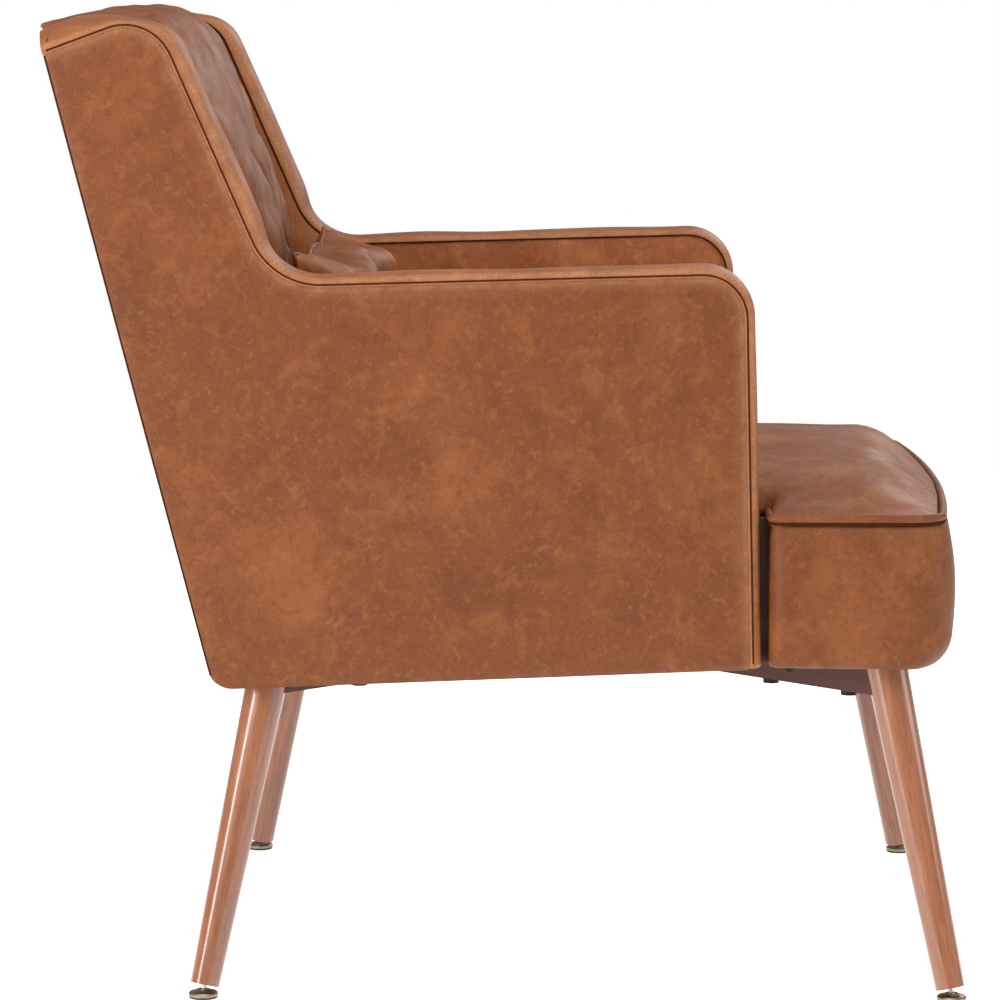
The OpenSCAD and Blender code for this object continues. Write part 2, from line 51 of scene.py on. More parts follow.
SIDES = {"left": 1, "right": -1}

# ---- driving dimensions, as in the CAD ----
HALF_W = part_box("outer_side_cover_left")[1][0] / MM
ARM_INNER_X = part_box("inner_side_cover_left")[0][0] / MM
ARM_MID_X = (HALF_W + ARM_INNER_X) / 2
STRIP_HALF = (HALF_W - ARM_INNER_X) / 2
SEAT_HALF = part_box("seat_top_cover")[1][0] / MM
WELT_Z = 408
UNDERSIDE_Z = 276
UNDERSIDE_SLOPE = 0.03
RAKE = math.tan(math.radians(14.4))
RAKE_COS, RAKE_SIN = math.cos(math.atan(RAKE)), math.sin(math.atan(RAKE))
REAR_FOOT = (249.5, 268.5)
ARM_Z = 618
BACK_T = 112
BACK_TOP_Z = 840
WING_REAR_Z = 801
WING_CORNER = (294, 835)
CROOK = (195, ARM_Z - 11)
ARM_FRONT_TOP = (-201, ARM_Z)
ARM_FRONT_FOOT_Y = -209
SEAT_FRONT_Y = -382
SEAT_NOTCH_Y = -223
SEAT_BACK_Y = 168


def rear_y(z):
    """Y of the chair's rear face at height z."""
    return REAR_FOOT[0] + RAKE * (z - REAR_FOOT[1])


def underside_at(y):
    """Height of the sloping underside at y."""
    return UNDERSIDE_Z - UNDERSIDE_SLOPE * y


# ---- curves in a plane ----

SAME_PLACE = 1e-6   # points closer than this are one point
ZERO_RUN = 1e-9     # keeps a division by a squared length off zero
FAR = 1e9           # farther than any distance here


def unit(v):
    """Vectors scaled to a length of 1."""
    return v / np.linalg.norm(v, axis=-1, keepdims=True)


def corner_arc(before, corner, after, radius, steps=10):
    """Points of the arc that rounds a corner."""
    u, v = unit(before - corner), unit(after - corner)
    half = math.acos(float(np.clip(u @ v, -1, 1))) / 2
    centre = corner + unit(u + v) * radius / math.sin(half)
    first = corner + u * radius / math.tan(half) - centre
    last = corner + v * radius / math.tan(half) - centre
    blend = np.linspace(0, 1, steps + 1)[:, None]
    return centre + unit(first * (1 - blend) + last * blend) * radius


def rounded(corners, closed=True):
    """Polyline through corners (a, b, radius). An open line keeps its two ends sharp."""
    flat = np.array([c[:2] for c in corners], float)
    count, line = len(flat), []
    for i, corner in enumerate(corners):
        if not closed and i in (0, count - 1):
            line.append(flat[i][None])
        else:
            line.append(corner_arc(flat[i - 1], flat[i], flat[(i + 1) % count], corner[2]))
    return np.concatenate(line)


def resample(line, step, closed=False):
    """The same line with points evenly about step apart."""
    if closed:
        line = np.vstack([line, line[:1]])
    lengths = np.linalg.norm(np.diff(line, axis=0), axis=1)
    apart = lengths > SAME_PLACE
    line = line[np.concatenate([[True], apart])]
    along = np.concatenate([[0], np.cumsum(lengths[apart])])
    count = max(2, round(along[-1] / step))
    at = np.linspace(0, along[-1], count + 1)
    points = np.stack([np.interp(at, along, line[:, k]) for k in range(line.shape[1])], 1)
    return points[:-1] if closed else points


def tangents(line, closed=False):
    """Unit direction of a line at each of its points."""
    if closed:
        return unit(np.roll(line, -1, 0) - np.roll(line, 1, 0))
    return unit(np.gradient(line, axis=0))


def left_of(direction):
    """A quarter turn to the left in the plane."""
    return np.stack([-direction[:, 1], direction[:, 0]], 1)


def segment_distance(points, start, run):
    """Distance from each point to a straight segment."""
    share = np.clip(((points - start) @ run) / max(float(run @ run), ZERO_RUN), 0, 1)
    return np.linalg.norm(points - start - share[:, None] * run, axis=1)


def distance_to(points, line, closed=True):
    """Distance from each point to a polyline."""
    starts = line if closed else line[:-1]
    runs = (np.roll(line, -1, 0) if closed else line[1:]) - starts
    best = np.full(len(points), FAR)
    for start, run in zip(starts, runs):
        best = np.minimum(best, segment_distance(points, start, run))
    return best


def inside(points, outline):
    """Whether each point lies inside a closed outline."""
    result = np.zeros(len(points), bool)
    for a, b in zip(outline, np.roll(outline, -1, 0)):
        crosses = (a[1] > points[:, 1]) != (b[1] > points[:, 1])
        if a[1] != b[1]:
            x = a[0] + (points[:, 1] - a[1]) * (b[0] - a[0]) / (b[1] - a[1])
            result ^= crosses & (points[:, 0] < x)
    return result


def area_sign(outline):
    """1 for an anticlockwise outline, -1 for a clockwise one."""
    a, b = outline, np.roll(outline, -1, 0)
    return math.copysign(1, float(np.sum(a[:, 0] * b[:, 1] - b[:, 0] * a[:, 1])))


# ---- smooth fields and profiles ----

WAVE_SPREAD = (0.6, 1.8)   # shortest and longest wave, as shares of the wavelength


class Ripples:
    """A smooth field of random waves, the same on every run."""

    def __init__(self, seed, wavelength, waves=14):
        rng = np.random.default_rng(seed)
        angle = rng.uniform(0, 2 * math.pi, waves)
        size = 2 * math.pi / (wavelength * rng.uniform(*WAVE_SPREAD, waves))
        self.k = np.stack([np.cos(angle) * size, np.sin(angle) * size])
        self.phase = rng.uniform(0, 2 * math.pi, waves)
        self.scale = math.sqrt(2 / waves)

    def __call__(self, points):
        """The field's value at each point, about -2 to 2."""
        return np.sin(points @ self.k + self.phase).sum(1) * self.scale


def swell(distance, run):
    """Rise from 0 at an edge to 1 well away from it."""
    return 1 - np.exp(-distance / run)


def ridge(distance, width):
    """1 on a line, falling to 0 on both sides of it."""
    return np.exp(-((distance / width) ** 2))


def ease(t):
    """A smooth step from 0 to 1."""
    t = np.clip(t, 0, 1)
    return t * t * (3 - 2 * t)


def roll(distance, radius):
    """How far a surface has turned away at a distance from an edge it rolls over."""
    near = np.clip(radius - distance, 0, radius)
    return radius - np.sqrt(radius**2 - near**2)


# ---- meshes ----

RUB_AT, RUB_WIDTH = 5.0, 3.5
EDGE_SPACING = 0.6            # point spacing along an outline, as a share of the grid's
RING_KEEP = 0.95              # drops ring points that come nearer to the outline than their ring
GRID_GAP = 0.5                # between the last ring and the grid, as a share of the grid's spacing
FILL_INSIDE, WELD = 1, 1e-5   # the triangulation's output kind, and how near points are merged
OFF_LINE = np.array([0.11, 0.23, 0.37])   # turns a tube's first side away from its own direction


def mesh_object(name, points, faces, material, body="root", wear=None):
    """A smooth-shaded object from points in millimetres, riding on a CAD body.

    wear is how rubbed each point is.
    """
    mesh = bpy.data.meshes.new(name)
    mesh.from_pydata((np.asarray(points, float) * MM).tolist(), [], faces)
    fixer = bmesh.new()
    fixer.from_mesh(mesh)
    bmesh.ops.recalc_face_normals(fixer, faces=fixer.faces)
    fixer.to_mesh(mesh)
    fixer.free()
    mesh.polygons.foreach_set("use_smooth", [True] * len(mesh.polygons))
    if wear is not None:
        layer = mesh.attributes.new("wear", "FLOAT", "POINT")
        layer.data.foreach_set("value", np.asarray(wear, np.float32))
    obj = bpy.data.objects.new(name, mesh)
    bpy.context.collection.objects.link(obj)
    mesh.materials.append(material)
    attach(obj, body)
    return obj


def panel_mesh(outline, spacing=7, rings=(1.2, 2.6, 5, 9)):
    """Points and triangles that fill an outline, and each point's distance to its edge.

    rings are the distances of finer rows of points inside the edge.
    """
    outline = resample(outline, spacing * EDGE_SPACING, closed=True)
    inward = left_of(tangents(outline, closed=True)) * area_sign(outline)
    points = [outline]
    for ring in rings:
        candidate = outline + inward * ring
        keep = inside(candidate, outline) & (distance_to(candidate, outline) > ring * RING_KEEP)
        points.append(candidate[keep])
    low, high = outline.min(0), outline.max(0)
    across, up = [np.arange(low[k], high[k], spacing) for k in (0, 1)]
    grid = np.stack(np.meshgrid(across, up), -1).reshape(-1, 2)
    grid = grid[inside(grid, outline)]
    points.append(grid[distance_to(grid, outline) > rings[-1] + spacing * GRID_GAP])
    every = np.concatenate(points)
    count = len(outline)
    loop = [(i, (i + 1) % count) for i in range(count)]
    made = delaunay_2d_cdt([Vector(p) for p in every], loop, [], FILL_INSIDE, WELD)
    flat = np.array([tuple(p) for p in made[0]])
    return flat, [tuple(f) for f in made[2]], distance_to(flat, outline)


def rubbed(seam_distance):
    """Wear of a cover: strongest on the puffed band just beside a seam."""
    return ridge(seam_distance - RUB_AT, RUB_WIDTH)


def padded_panel(name, outline, height, place, depth, material, rubs_along=None, **options):
    """A closed pad over an outline, its rear flat at -depth.

    height(points, edge_distance) shapes its face and place(points, height) sets it in space.
    The face is rubbed beside the line rubs_along.
    """
    flat, faces, edge = panel_mesh(outline, **options)
    count = len(flat)
    front = place(flat, height(flat, edge))
    rear = place(flat, np.full(count, -float(depth)))
    sides = {}
    for a, b, c in faces:
        for pair in ((a, b), (b, c), (c, a)):
            key = tuple(sorted(pair))
            sides[key] = None if key in sides else pair
    rim = [(a, b, b + count, a + count) for a, b in filter(None, sides.values())]
    back_faces = [(c + count, b + count, a + count) for a, b, c in faces]
    wear = None
    if rubs_along is not None:
        face_wear = rubbed(distance_to(flat, rubs_along, closed=False))
        wear = np.concatenate([face_wear, np.zeros(count)])
    points = np.vstack([front, rear])
    return mesh_object(name, points, faces + back_faces + rim, material, wear=wear)


def loft(name, sections, material, body="root", closed_path=False, wear=None):
    """A skin over a row of closed sections of equal point counts, capped if its path is open."""
    rows, size = len(sections), len(sections[0])
    faces = []
    for i in range(rows if closed_path else rows - 1):
        j = (i + 1) % rows
        for k in range(size):
            m = (k + 1) % size
            faces.append((i * size + k, i * size + m, j * size + m, j * size + k))
    if not closed_path:
        faces.append(tuple(range(size)))
        faces.append(tuple((rows - 1) * size + k for k in range(size)))
    return mesh_object(name, np.concatenate(sections), faces, material, body, wear)


def tube(name, line, radius, material, body="root", sides=10, closed=False):
    """A round cord along a line in space."""
    along = tangents(line, closed)
    side = unit(np.cross(along, np.roll(along, 1, 1) + OFF_LINE))
    for i in range(1, len(line)):
        carried = side[i - 1] - along[i] * (side[i - 1] @ along[i])
        side[i] = carried / np.linalg.norm(carried)
    up = np.cross(along, side)
    turn = np.linspace(0, 2 * math.pi, sides, endpoint=False)
    sections = [
        p + radius * (np.cos(turn)[:, None] * s + np.sin(turn)[:, None] * u)
        for p, s, u in zip(line, side, up)
    ]
    return loft(name, sections, material, body, closed_path=closed)


STITCH_LONG, STITCH_GAP, STITCH_R = 2.9, 1.6, 0.42
STITCH_SIDES = 6
STITCH_SECTIONS = ((-0.5, 0.3), (-0.32, 1), (0.32, 1), (0.5, 0.3))   # shares of its length and radius
STITCH_SINK = 0.75   # a section is raised by its share of the radius, less this


def stitches(name, line, normal, material, body="root"):
    """A row of thread stitches along a line that lies on a surface."""
    pitch = STITCH_LONG + STITCH_GAP
    fine = resample(np.hstack([line, normal]), pitch)
    place, up = fine[:, :3], unit(fine[:, 3:])
    along = tangents(place)
    across = unit(np.cross(along, up))
    points, faces = [], []
    turn = np.linspace(0, 2 * math.pi, STITCH_SIDES, endpoint=False)
    last_ring = STITCH_SIDES * (len(STITCH_SECTIONS) - 1)
    ring = STITCH_R * (np.cos(turn)[:, None, None] * across + np.sin(turn)[:, None, None] * up)
    for i in range(len(place)):
        first = len(points)
        for share, full in STITCH_SECTIONS:
            lift = STITCH_R * (full - STITCH_SINK)
            centre = place[i] + along[i] * STITCH_LONG * share + up[i] * lift
            points.extend(centre + full * ring[:, i])
        for row in range(first, first + last_ring, STITCH_SIDES):
            for k in range(STITCH_SIDES):
                a, b = row + k, row + (k + 1) % STITCH_SIDES
                faces.append((a, b, b + STITCH_SIDES, a + STITCH_SIDES))
        faces.append(tuple(first + k for k in range(STITCH_SIDES)))
        faces.append(tuple(first + last_ring + k for k in range(STITCH_SIDES)))
    return mesh_object(name, points, faces, material, body)


# ---- materials ----

MIX_INPUTS, MIX_RESULT = (0, 6, 7), 2   # a colour Mix node's sockets: factor, A and B, and its result


class Nodes:
    """Short calls for building a node tree."""

    def __init__(self, name):
        self.material = bpy.data.materials.new(name)
        self.material.use_nodes = True
        self.tree = self.material.node_tree
        self.shader = self.tree.nodes["Principled BSDF"]

    def add(self, kind, values=(), **settings):
        """A new node with its settings and its input values or links."""
        node = self.tree.nodes.new("ShaderNode" + kind)
        for key, value in settings.items():
            setattr(node, key, value)
        for key, value in dict(values).items():
            self.set(node, key, value)
        return node

    def set(self, node, key, value):
        """Links a socket to an input, or sets the input's own value."""
        if isinstance(value, bpy.types.NodeSocket):
            self.tree.links.new(value, node.inputs[key])
        else:
            node.inputs[key].default_value = value

    def finish(self, **values):
        """Sets the shader's inputs and gives back the material."""
        for key, value in values.items():
            self.set(self.shader, key.replace("_", " "), value)
        return self.material

    def place(self, shift=(0, 0, 0), turn=(0, 0, 0), stretch=1):
        """Object coordinates, drawn out along the z axis as turned."""
        at = self.add("TexCoord").outputs["Object"]
        values = {"Vector": at, "Scale": (1, 1, stretch), "Location": shift, "Rotation": turn}
        return self.add("Mapping", values, vector_type="TEXTURE").outputs["Vector"]

    def noise(self, at, scale, detail=4, rough=0.55, distortion=0.0):
        """Cloudy noise, about 0.3 to 0.7."""
        values = {"Vector": at, "Scale": scale, "Detail": detail, "Roughness": rough}
        return self.add("TexNoise", {**values, "Distortion": distortion}).outputs["Fac"]

    def ramp(self, fac, stops):
        """Colours blended between stops of (position, colour)."""
        node = self.add("ValToRGB", {"Fac": fac})
        while len(node.color_ramp.elements) < len(stops):
            node.color_ramp.elements.new(0.5)
        for element, (position, color) in zip(node.color_ramp.elements, stops):
            element.position = position
            element.color = (*color, 1)
        return node.outputs["Color"]

    def grey(self, fac, low, high, at=(0.3, 0.7)):
        """A value that goes from low to high as fac passes between two positions."""
        return self.ramp(fac, [(at[0], (low,) * 3), (at[1], (high,) * 3)])

    def mix(self, fac, a, b, how="MIX"):
        """Two colours mixed by fac."""
        node = self.add("Mix", data_type="RGBA", blend_type=how)
        for index, value in zip(MIX_INPUTS, (fac, a, b)):
            if isinstance(value, tuple):
                value = (*value, 1)
            self.set(node, index, value)
        return node.outputs[MIX_RESULT]

    def math(self, how, a, b):
        """One sum on two values."""
        return self.add("Math", {0: a, 1: b}, operation=how).outputs[0]

    def bump(self, height, strength, distance, normal=None):
        """A normal raised by height, on top of another if one is given."""
        values = {"Height": height, "Strength": strength, "Distance": distance}
        if normal is not None:
            values["Normal"] = normal
        return self.add("Bump", values).outputs["Normal"]


LEATHER_SHADES = {
    "dark": (0.084, 0.023, 0.007),
    "middle": (0.147, 0.0405, 0.0095),
    "warm": (0.26, 0.088, 0.019),
    "worn": (0.34, 0.16, 0.075),
}
LEATHER_LAYERS = (
    # noise scale, detail, distortion, threshold, strength, shade
    (22, 10, 0.5, (0.52, 0.68), 0.4, "dark"),
    (30, 10, 0.6, (0.52, 0.68), 0.42, "warm"),
    (70, 10, 0.5, (0.54, 0.68), 0.38, "dark"),
    (80, 10, 0.6, (0.54, 0.68), 0.42, "warm"),
    (150, 8, 0.4, (0.56, 0.69), 0.42, "warm"),
    (190, 8, 0.3, (0.56, 0.69), 0.38, "dark"),
)
LAYER_ROUGH = 0.68
SCRATCH_TURNS = ((0.9, 0.3, 0.2), (-0.6, -0.4, 1.1), (2.2, 0.8, -0.5), (1.5, 0.1, 2.4))
SCRATCH_STRETCH = 9
SCRATCH_STRENGTH = 0.22


def scratches(n):
    """Hairline marks in a few directions, kept to some areas."""
    marks = None
    for turn in SCRATCH_TURNS:
        hairs = n.noise(n.place(turn=turn, stretch=SCRATCH_STRETCH), scale=130, detail=2, rough=0.5)
        line = n.grey(hairs, 0, 1, (0.64, 0.75))
        marks = line if marks is None else n.math("MAXIMUM", marks, line)
    areas = n.grey(n.noise(n.place(shift=(0.2, 5.1, 0.3)), scale=20), 0, 1, (0.46, 0.62))
    return n.math("MULTIPLY", marks, areas)


def leather_color(n, at, shift, shades):
    """Clouds, blotches and flecks, then scratches, rubbed seams and fine mottling."""
    clouds = n.noise(at, scale=9, detail=8, rough=0.62, distortion=0.4)
    color = n.mix(n.grey(clouds, 0, 0.6, (0.5, 0.72)), shades["middle"], shades["warm"])
    for scale, detail, warp, edges, strength, shade in LEATHER_LAYERS:
        patch = n.noise(n.place(shift=(shift[0] + scale, 0.4, 2.2)), scale, detail, LAYER_ROUGH, warp)
        color = n.mix(n.grey(patch, 0, strength, edges), color, shades[shade])
    color = n.mix(n.math("MULTIPLY", scratches(n), SCRATCH_STRENGTH), color, shades["worn"])
    wear = n.add("Attribute", attribute_name="wear").outputs["Fac"]
    patchy = n.grey(n.noise(at, scale=60, detail=6, rough=0.7), 0.15, 0.75)
    color = n.mix(n.math("MULTIPLY", wear, patchy), color, shades["worn"])
    mottle = n.grey(n.noise(at, scale=460, detail=3, rough=0.6), 0.1, 0.9)
    return n.mix(0.12, color, mottle, "OVERLAY")


def leather_normal(n, at):
    """Soft waves, creases and a pebble grain."""
    pebble = n.add("TexVoronoi", {"Vector": at, "Scale": 700.0, "Randomness": 1.0}).outputs["Distance"]
    normal = n.bump(n.noise(at, scale=16, detail=3, rough=0.5), 0.3, 0.0012)
    creases = n.noise(at, scale=130, detail=6, rough=0.7, distortion=0.4)
    normal = n.bump(creases, 0.25, 0.0004, normal)
    return n.bump(pebble, 0.2, 0.00025, normal)


def leather(name, shift=(0, 0, 0), bright=1.0, rough=0.5):
    """Distressed leather. shift moves its pattern and bright scales its colours, which makes lighter
    and darker copies of one leather: painted light and shade.
    """
    n = Nodes(name)
    at = n.place(shift=shift)
    shades = {shade: tuple(c * bright for c in color) for shade, color in LEATHER_SHADES.items()}
    gloss = n.grey(n.noise(at, scale=34, detail=6, rough=0.6), rough - 0.07, rough + 0.12)
    return n.finish(Base_Color=leather_color(n, at, shift, shades), Roughness=gloss,
                    Normal=leather_normal(n, at), Specular_IOR_Level=0.25)


def wood(name, light, dark, turn=(0, 0, 0), gloss=0.3, coat=0.35, shift=(0, 0, 0)):
    """Stained wood with its grain along the z axis as turned."""
    n = Nodes(name)
    at = n.place(turn=turn, stretch=18, shift=shift)
    wide = n.noise(at, scale=70, detail=5, rough=0.6, distortion=0.3)
    fine = n.noise(at, scale=420, detail=5, rough=0.7)
    pores = n.noise(n.place(turn=turn, stretch=28), scale=900, detail=2)
    between = tuple((a + b) / 2 for a, b in zip(light, dark))
    color = n.ramp(wide, [(0.3, dark), (0.48, between), (0.62, light)])
    color = n.mix(0.4, color, n.ramp(fine, [(0.35, dark), (0.65, light)]))
    color = n.mix(n.grey(pores, 0.6, 0, (0.3, 0.42)), color, tuple(c * 0.4 for c in dark))
    normal = n.bump(fine, 0.12, 0.0003)
    normal = n.bump(pores, 0.1, 0.0002, normal)
    return n.finish(Base_Color=color, Roughness=n.grey(fine, gloss, gloss + 0.12), Normal=normal,
                    Coat_Weight=coat, Coat_Roughness=0.1)


def metal(name, color, rough, scale=300):
    """Plated steel with small scuffs."""
    n = Nodes(name)
    scuff = n.noise(n.place(), scale, 6, 0.7)
    tint = n.mix(n.grey(scuff, 0, 0.5), color, tuple(c * 0.55 for c in color))
    return n.finish(Base_Color=tint, Metallic=1.0, Roughness=n.grey(scuff, rough, rough + 0.18),
                    Normal=n.bump(scuff, 0.08, 0.0002))


def matt(name, low, high, scale, rough=0.8, shine=0.5):
    """A dull grained surface: foam, cloth, plastic or sawn timber."""
    n = Nodes(name)
    grain = n.noise(n.place(), scale, 6, 0.7)
    return n.finish(Base_Color=n.ramp(grain, [(0.3, low), (0.7, high)]), Roughness=rough,
                    Normal=n.bump(grain, 0.4, 0.0006), Specular_IOR_Level=shine)


def woven(name, low, high):
    """Plain woven cloth with threads about 1.5 mm apart."""
    n = Nodes(name)
    at = n.place()
    threads = [
        n.add("TexWave", {"Vector": at, "Scale": 210.0, "Distortion": 0.4},
              wave_type="BANDS", bands_direction=axis).outputs["Fac"]
        for axis in "XY"
    ]
    weave = n.math("MULTIPLY", *threads)
    return n.finish(Base_Color=n.ramp(weave, [(0.1, low), (0.7, high)]), Roughness=0.9,
                    Normal=n.bump(weave, 0.5, 0.0005), Sheen_Weight=0.15)


THREAD = matt("thread_tan", (0.24, 0.1, 0.035), (0.36, 0.17, 0.07), 900, 0.7)
# Dark matt tubes laid in the seam grooves: painted shade, standing in for the shadow down in each seam.
SEAM_PAINTED_SHADE = matt("seam_painted_shade", (0.03, 0.009, 0.004), (0.065, 0.019, 0.007), 500, 1.0, 0.05)
DUST_CLOTH = woven("dust_cloth", (0.008, 0.008, 0.008), (0.03, 0.03, 0.03))
# The bright factors make lit and shaded copies of one leather: painted light for the strip, inner
# sides, back, seat and pillow, which come out lighter than the panels, and painted shade for the tuck.
# The strip's lighter tone is partly real wear on its crest and partly a painted highlight.
LEATHER = {
    "panel_left": leather("leather_panel_left", (0.7, 0.2, 0.1)),
    "panel_right": leather("leather_panel_right"),
    "strip": leather("leather_strip", (1.3, 0.6, 0.2), 1.5, 0.46),
    "inner": leather("leather_inner", (2.1, 0.3, 0.8), 1.75),
    "back": leather("leather_back", (0.4, 2.2, 0.5), 1.25),
    "rear": leather("leather_rear", (1.9, 1.1, 0.3)),
    "seat": leather("leather_seat", (0.1, 1.4, 2.0), 1.32),
    "border": leather("leather_border", (2.6, 0.9, 1.2)),
    "welt": leather("leather_welt", (3.1, 0.1, 0.4), 1.0),
    # A quarter-bright copy of the leather: painted shade of the deep gap beside the arm.
    "tuck": leather("leather_tuck_painted_shade", (1.1, 2.9, 0.6), 0.25),
    "pillow": leather("leather_pillow", (0.9, 3.0, 1.1), 1.3),
}


# ---- wing and arm sides ----

PANEL_FOOT_Z = REAR_FOOT[1] - 5
SIDE_CORNERS = [
    # y, z, corner radius
    (rear_y(PANEL_FOOT_Z), PANEL_FOOT_Z, 20),
    (rear_y(WING_REAR_Z), WING_REAR_Z, 6),
    (*WING_CORNER, 42),
    (*CROOK, 60),
    (*ARM_FRONT_TOP, 38),
    (ARM_FRONT_FOOT_Y, underside_at(ARM_FRONT_FOOT_Y), 8),
]
SEAM_SINK = 1.6
SEAM_WIDTH, SEAM_POWER = 2.6, 1.4
PANEL_PUFF = 1.8
PANEL_PUFF_RUN = 22
PANEL_RIPPLE, PANEL_RIPPLE_RUN = 0.35, 30
PANEL_REAR_ROLL = 3
PANEL_DEPTH = 29
INNER_FOOT_Z = 372
INNER_REAR_TUCK = 84   # how far its foot stops short of the rear face
INNER_TOP_Z, INNER_TOP_TUCK = WING_REAR_Z - 8, 3
INNER_PUFF, INNER_PUFF_RUN, INNER_EDGE_RUN = 7, 26, 10
INNER_RIPPLE, INNER_SEAM_RUN = 0.8, 4
INNER_DEPTH = 20
BOTTOM_ROLL = 10
BOTTOM_SINK = 3.4
STRIP_STEP = 4
STRIP_COLUMNS = 33
TOP_POINT = 5   # a point of the strip's line that lies on top of the wing, where out is up
STRIP_DOME_POWERS = (2.2, 0.55)
STRIP_RIPPLE = 0.4
STRIP_RUB, STRIP_WEAR = 0.8, 0.25   # wear beside its seams, and all over it
STRIP_SLOPE_Z, STRIP_SLOPE_RUN = ARM_Z + 5, 40
STRIP_FRONT_Z, STRIP_FRONT_RUN = ARM_Z - 30, 60
STRIP_CROWN_FRONT = 7
STRIP_CROWN_ARM = 6.5
STRIP_CROWN_SLOPE = 11
STRIP_CROWN_TOP = 3.5
STRIP_TILT = 19
STRIP_TILT_LEAN = 0.5
WING_TOP_Y, WING_TOP_RUN = 300, 60
WING_CORNER_Y, WING_CORNER_RUN = 275, 40
STRIP_END_ROLL = 1
STRIP_DEPTH = 6
STRIP_TUCK = 5
STITCH_INSET = 5.5
STITCH_PULL, STITCH_PULL_WIDTH = 0.5, 1.4
STITCH_LEAN = 0.45
STITCHED, SEAMED = slice(3, -2), slice(1, -1)   # the parts of a row they follow
# Radius and rise of the dark tube of painted shade in each strip seam.
SEAM_R = 0.85
SEAM_RISE = 0.7
SIDE_LINE = rounded([
    (rear_y(WING_REAR_Z), WING_REAR_Z, 1), *SIDE_CORNERS[2:5],
    (ARM_FRONT_FOOT_Y, underside_at(ARM_FRONT_FOOT_Y) + 2, 1),
], closed=False)


def seam_dip(edge):
    """How far a cover sinks into the seam at its edge."""
    return -SEAM_SINK * np.exp(-((edge / SEAM_WIDTH) ** SEAM_POWER))


def bottom_roll(low):
    """How far a cover has turned in at a height low over its bottom edge."""
    return roll(low, BOTTOM_ROLL) * BOTTOM_SINK / BOTTOM_ROLL


def with_x(x, flat):
    """Points of a plane, set at x."""
    return np.column_stack([np.full(len(flat), x), flat])


def side_place(side, x0, outward):
    """Sets [y, z] points at x0 on a side, with heights going outward or inward."""
    def place(points, height):
        return np.stack([side * (x0 + outward * height), points[:, 0], points[:, 1]], 1)
    return place


def outer_panel(name, side):
    """The one-piece outer cover of a wing and arm, tight over its board."""
    waves = Ripples(seed=11 + side, wavelength=150)

    def height(points, edge):
        puff = PANEL_PUFF * swell(edge, PANEL_PUFF_RUN)
        puff += PANEL_RIPPLE * waves(points) * swell(edge, PANEL_RIPPLE_RUN)
        low = points[:, 1] - underside_at(points[:, 0])
        behind = (rear_y(points[:, 1]) - points[:, 0]) * RAKE_COS
        return puff + seam_dip(edge) - bottom_roll(low) - roll(behind, PANEL_REAR_ROLL)

    obj = padded_panel(
        f"outer_side_cover_soft_{name}", rounded(SIDE_CORNERS), height,
        side_place(side, HALF_W - PANEL_PUFF, 1), PANEL_DEPTH, LEATHER[f"panel_{name}"],
        rubs_along=SIDE_LINE,
    )
    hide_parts(f"outer_side_cover_{name}")


def inner_panel(name, side):
    """The padded inner cover of a wing and arm, down behind the seat."""
    waves = Ripples(seed=31 + side, wavelength=90)
    outline = np.vstack([
        SIDE_LINE[:-1],
        [ARM_FRONT_FOOT_Y + 1, INNER_FOOT_Z],
        [rear_y(INNER_FOOT_Z) - INNER_REAR_TUCK, INNER_FOOT_Z],
        [rear_y(INNER_TOP_Z) - INNER_TOP_TUCK, INNER_TOP_Z],
    ])

    def height(points, edge):
        seam = distance_to(points, SIDE_LINE, closed=False)
        puff = INNER_PUFF * swell(seam, INNER_PUFF_RUN) * swell(edge, INNER_EDGE_RUN)
        puff += INNER_RIPPLE * waves(points)
        return puff * swell(seam, INNER_SEAM_RUN) + seam_dip(seam)

    place = side_place(side, ARM_INNER_X, -1)
    cover = f"inner_side_cover_soft_{name}"
    obj = padded_panel(cover, outline, height, place, INNER_DEPTH, LEATHER["inner"])
    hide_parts(f"inner_side_cover_{name}", f"side_padding_{name}")


def strip_height(across, crown):
    """Height of the facing strip over its seams, across from -1 to 1."""
    seam = (1 - np.abs(across)) * STRIP_HALF
    flat, full = STRIP_DOME_POWERS
    dome = crown * np.clip(1 - np.abs(across) ** flat, 0, 1) ** full
    return dome + seam_dip(seam) - STITCH_PULL * ridge(seam - STITCH_INSET, STITCH_PULL_WIDTH)


class StripShape:
    """The crowned face of a facing strip, which tips up on its inner side along the top of a wing."""

    def __init__(self, side):
        self.side = side
        self.line = resample(SIDE_LINE, STRIP_STEP)
        y, z = self.line.T
        turned = left_of(tangents(self.line))
        self.out = turned * math.copysign(1, turned[TOP_POINT, 1])
        length = STRIP_STEP * np.arange(len(self.line))
        slope = ease((z - STRIP_SLOPE_Z) / STRIP_SLOPE_RUN)
        top = ease((y - WING_CORNER_Y) / WING_CORNER_RUN)
        front = ease((STRIP_FRONT_Z - z) / STRIP_FRONT_RUN)
        crown = STRIP_CROWN_ARM + (STRIP_CROWN_SLOPE - STRIP_CROWN_ARM) * slope
        crown += (STRIP_CROWN_TOP - STRIP_CROWN_SLOPE) * top
        crown += (STRIP_CROWN_FRONT - STRIP_CROWN_ARM) * front
        ripple = Ripples(seed=51 + side, wavelength=130)(np.column_stack([length, length * 0]))
        self.crown = crown + STRIP_RIPPLE * ripple
        self.tilt = STRIP_TILT * ease((y - WING_TOP_Y) / WING_TOP_RUN)
        self.end_roll = roll(length, STRIP_END_ROLL)

    def row(self, across, rise=0.0):
        """Points along the strip, across from -1 at its inner edge to 1 at its outer edge."""
        height = strip_height(across, self.crown) - self.end_roll + rise
        lift = self.tilt * (1 - across) / 2
        up = unit(np.array([STRIP_TILT_LEAN, 1.0]))
        flat = self.line + self.out * height[:, None] + up * lift[:, None]
        return with_x(self.side * (ARM_MID_X + across * STRIP_HALF), flat)

    def base(self, across):
        """Points under the strip, set in from its edges."""
        flat = self.line - self.out * (STRIP_DEPTH + self.end_roll)[:, None]
        return with_x(self.side * (ARM_MID_X + across * (STRIP_HALF - STRIP_TUCK)), flat)


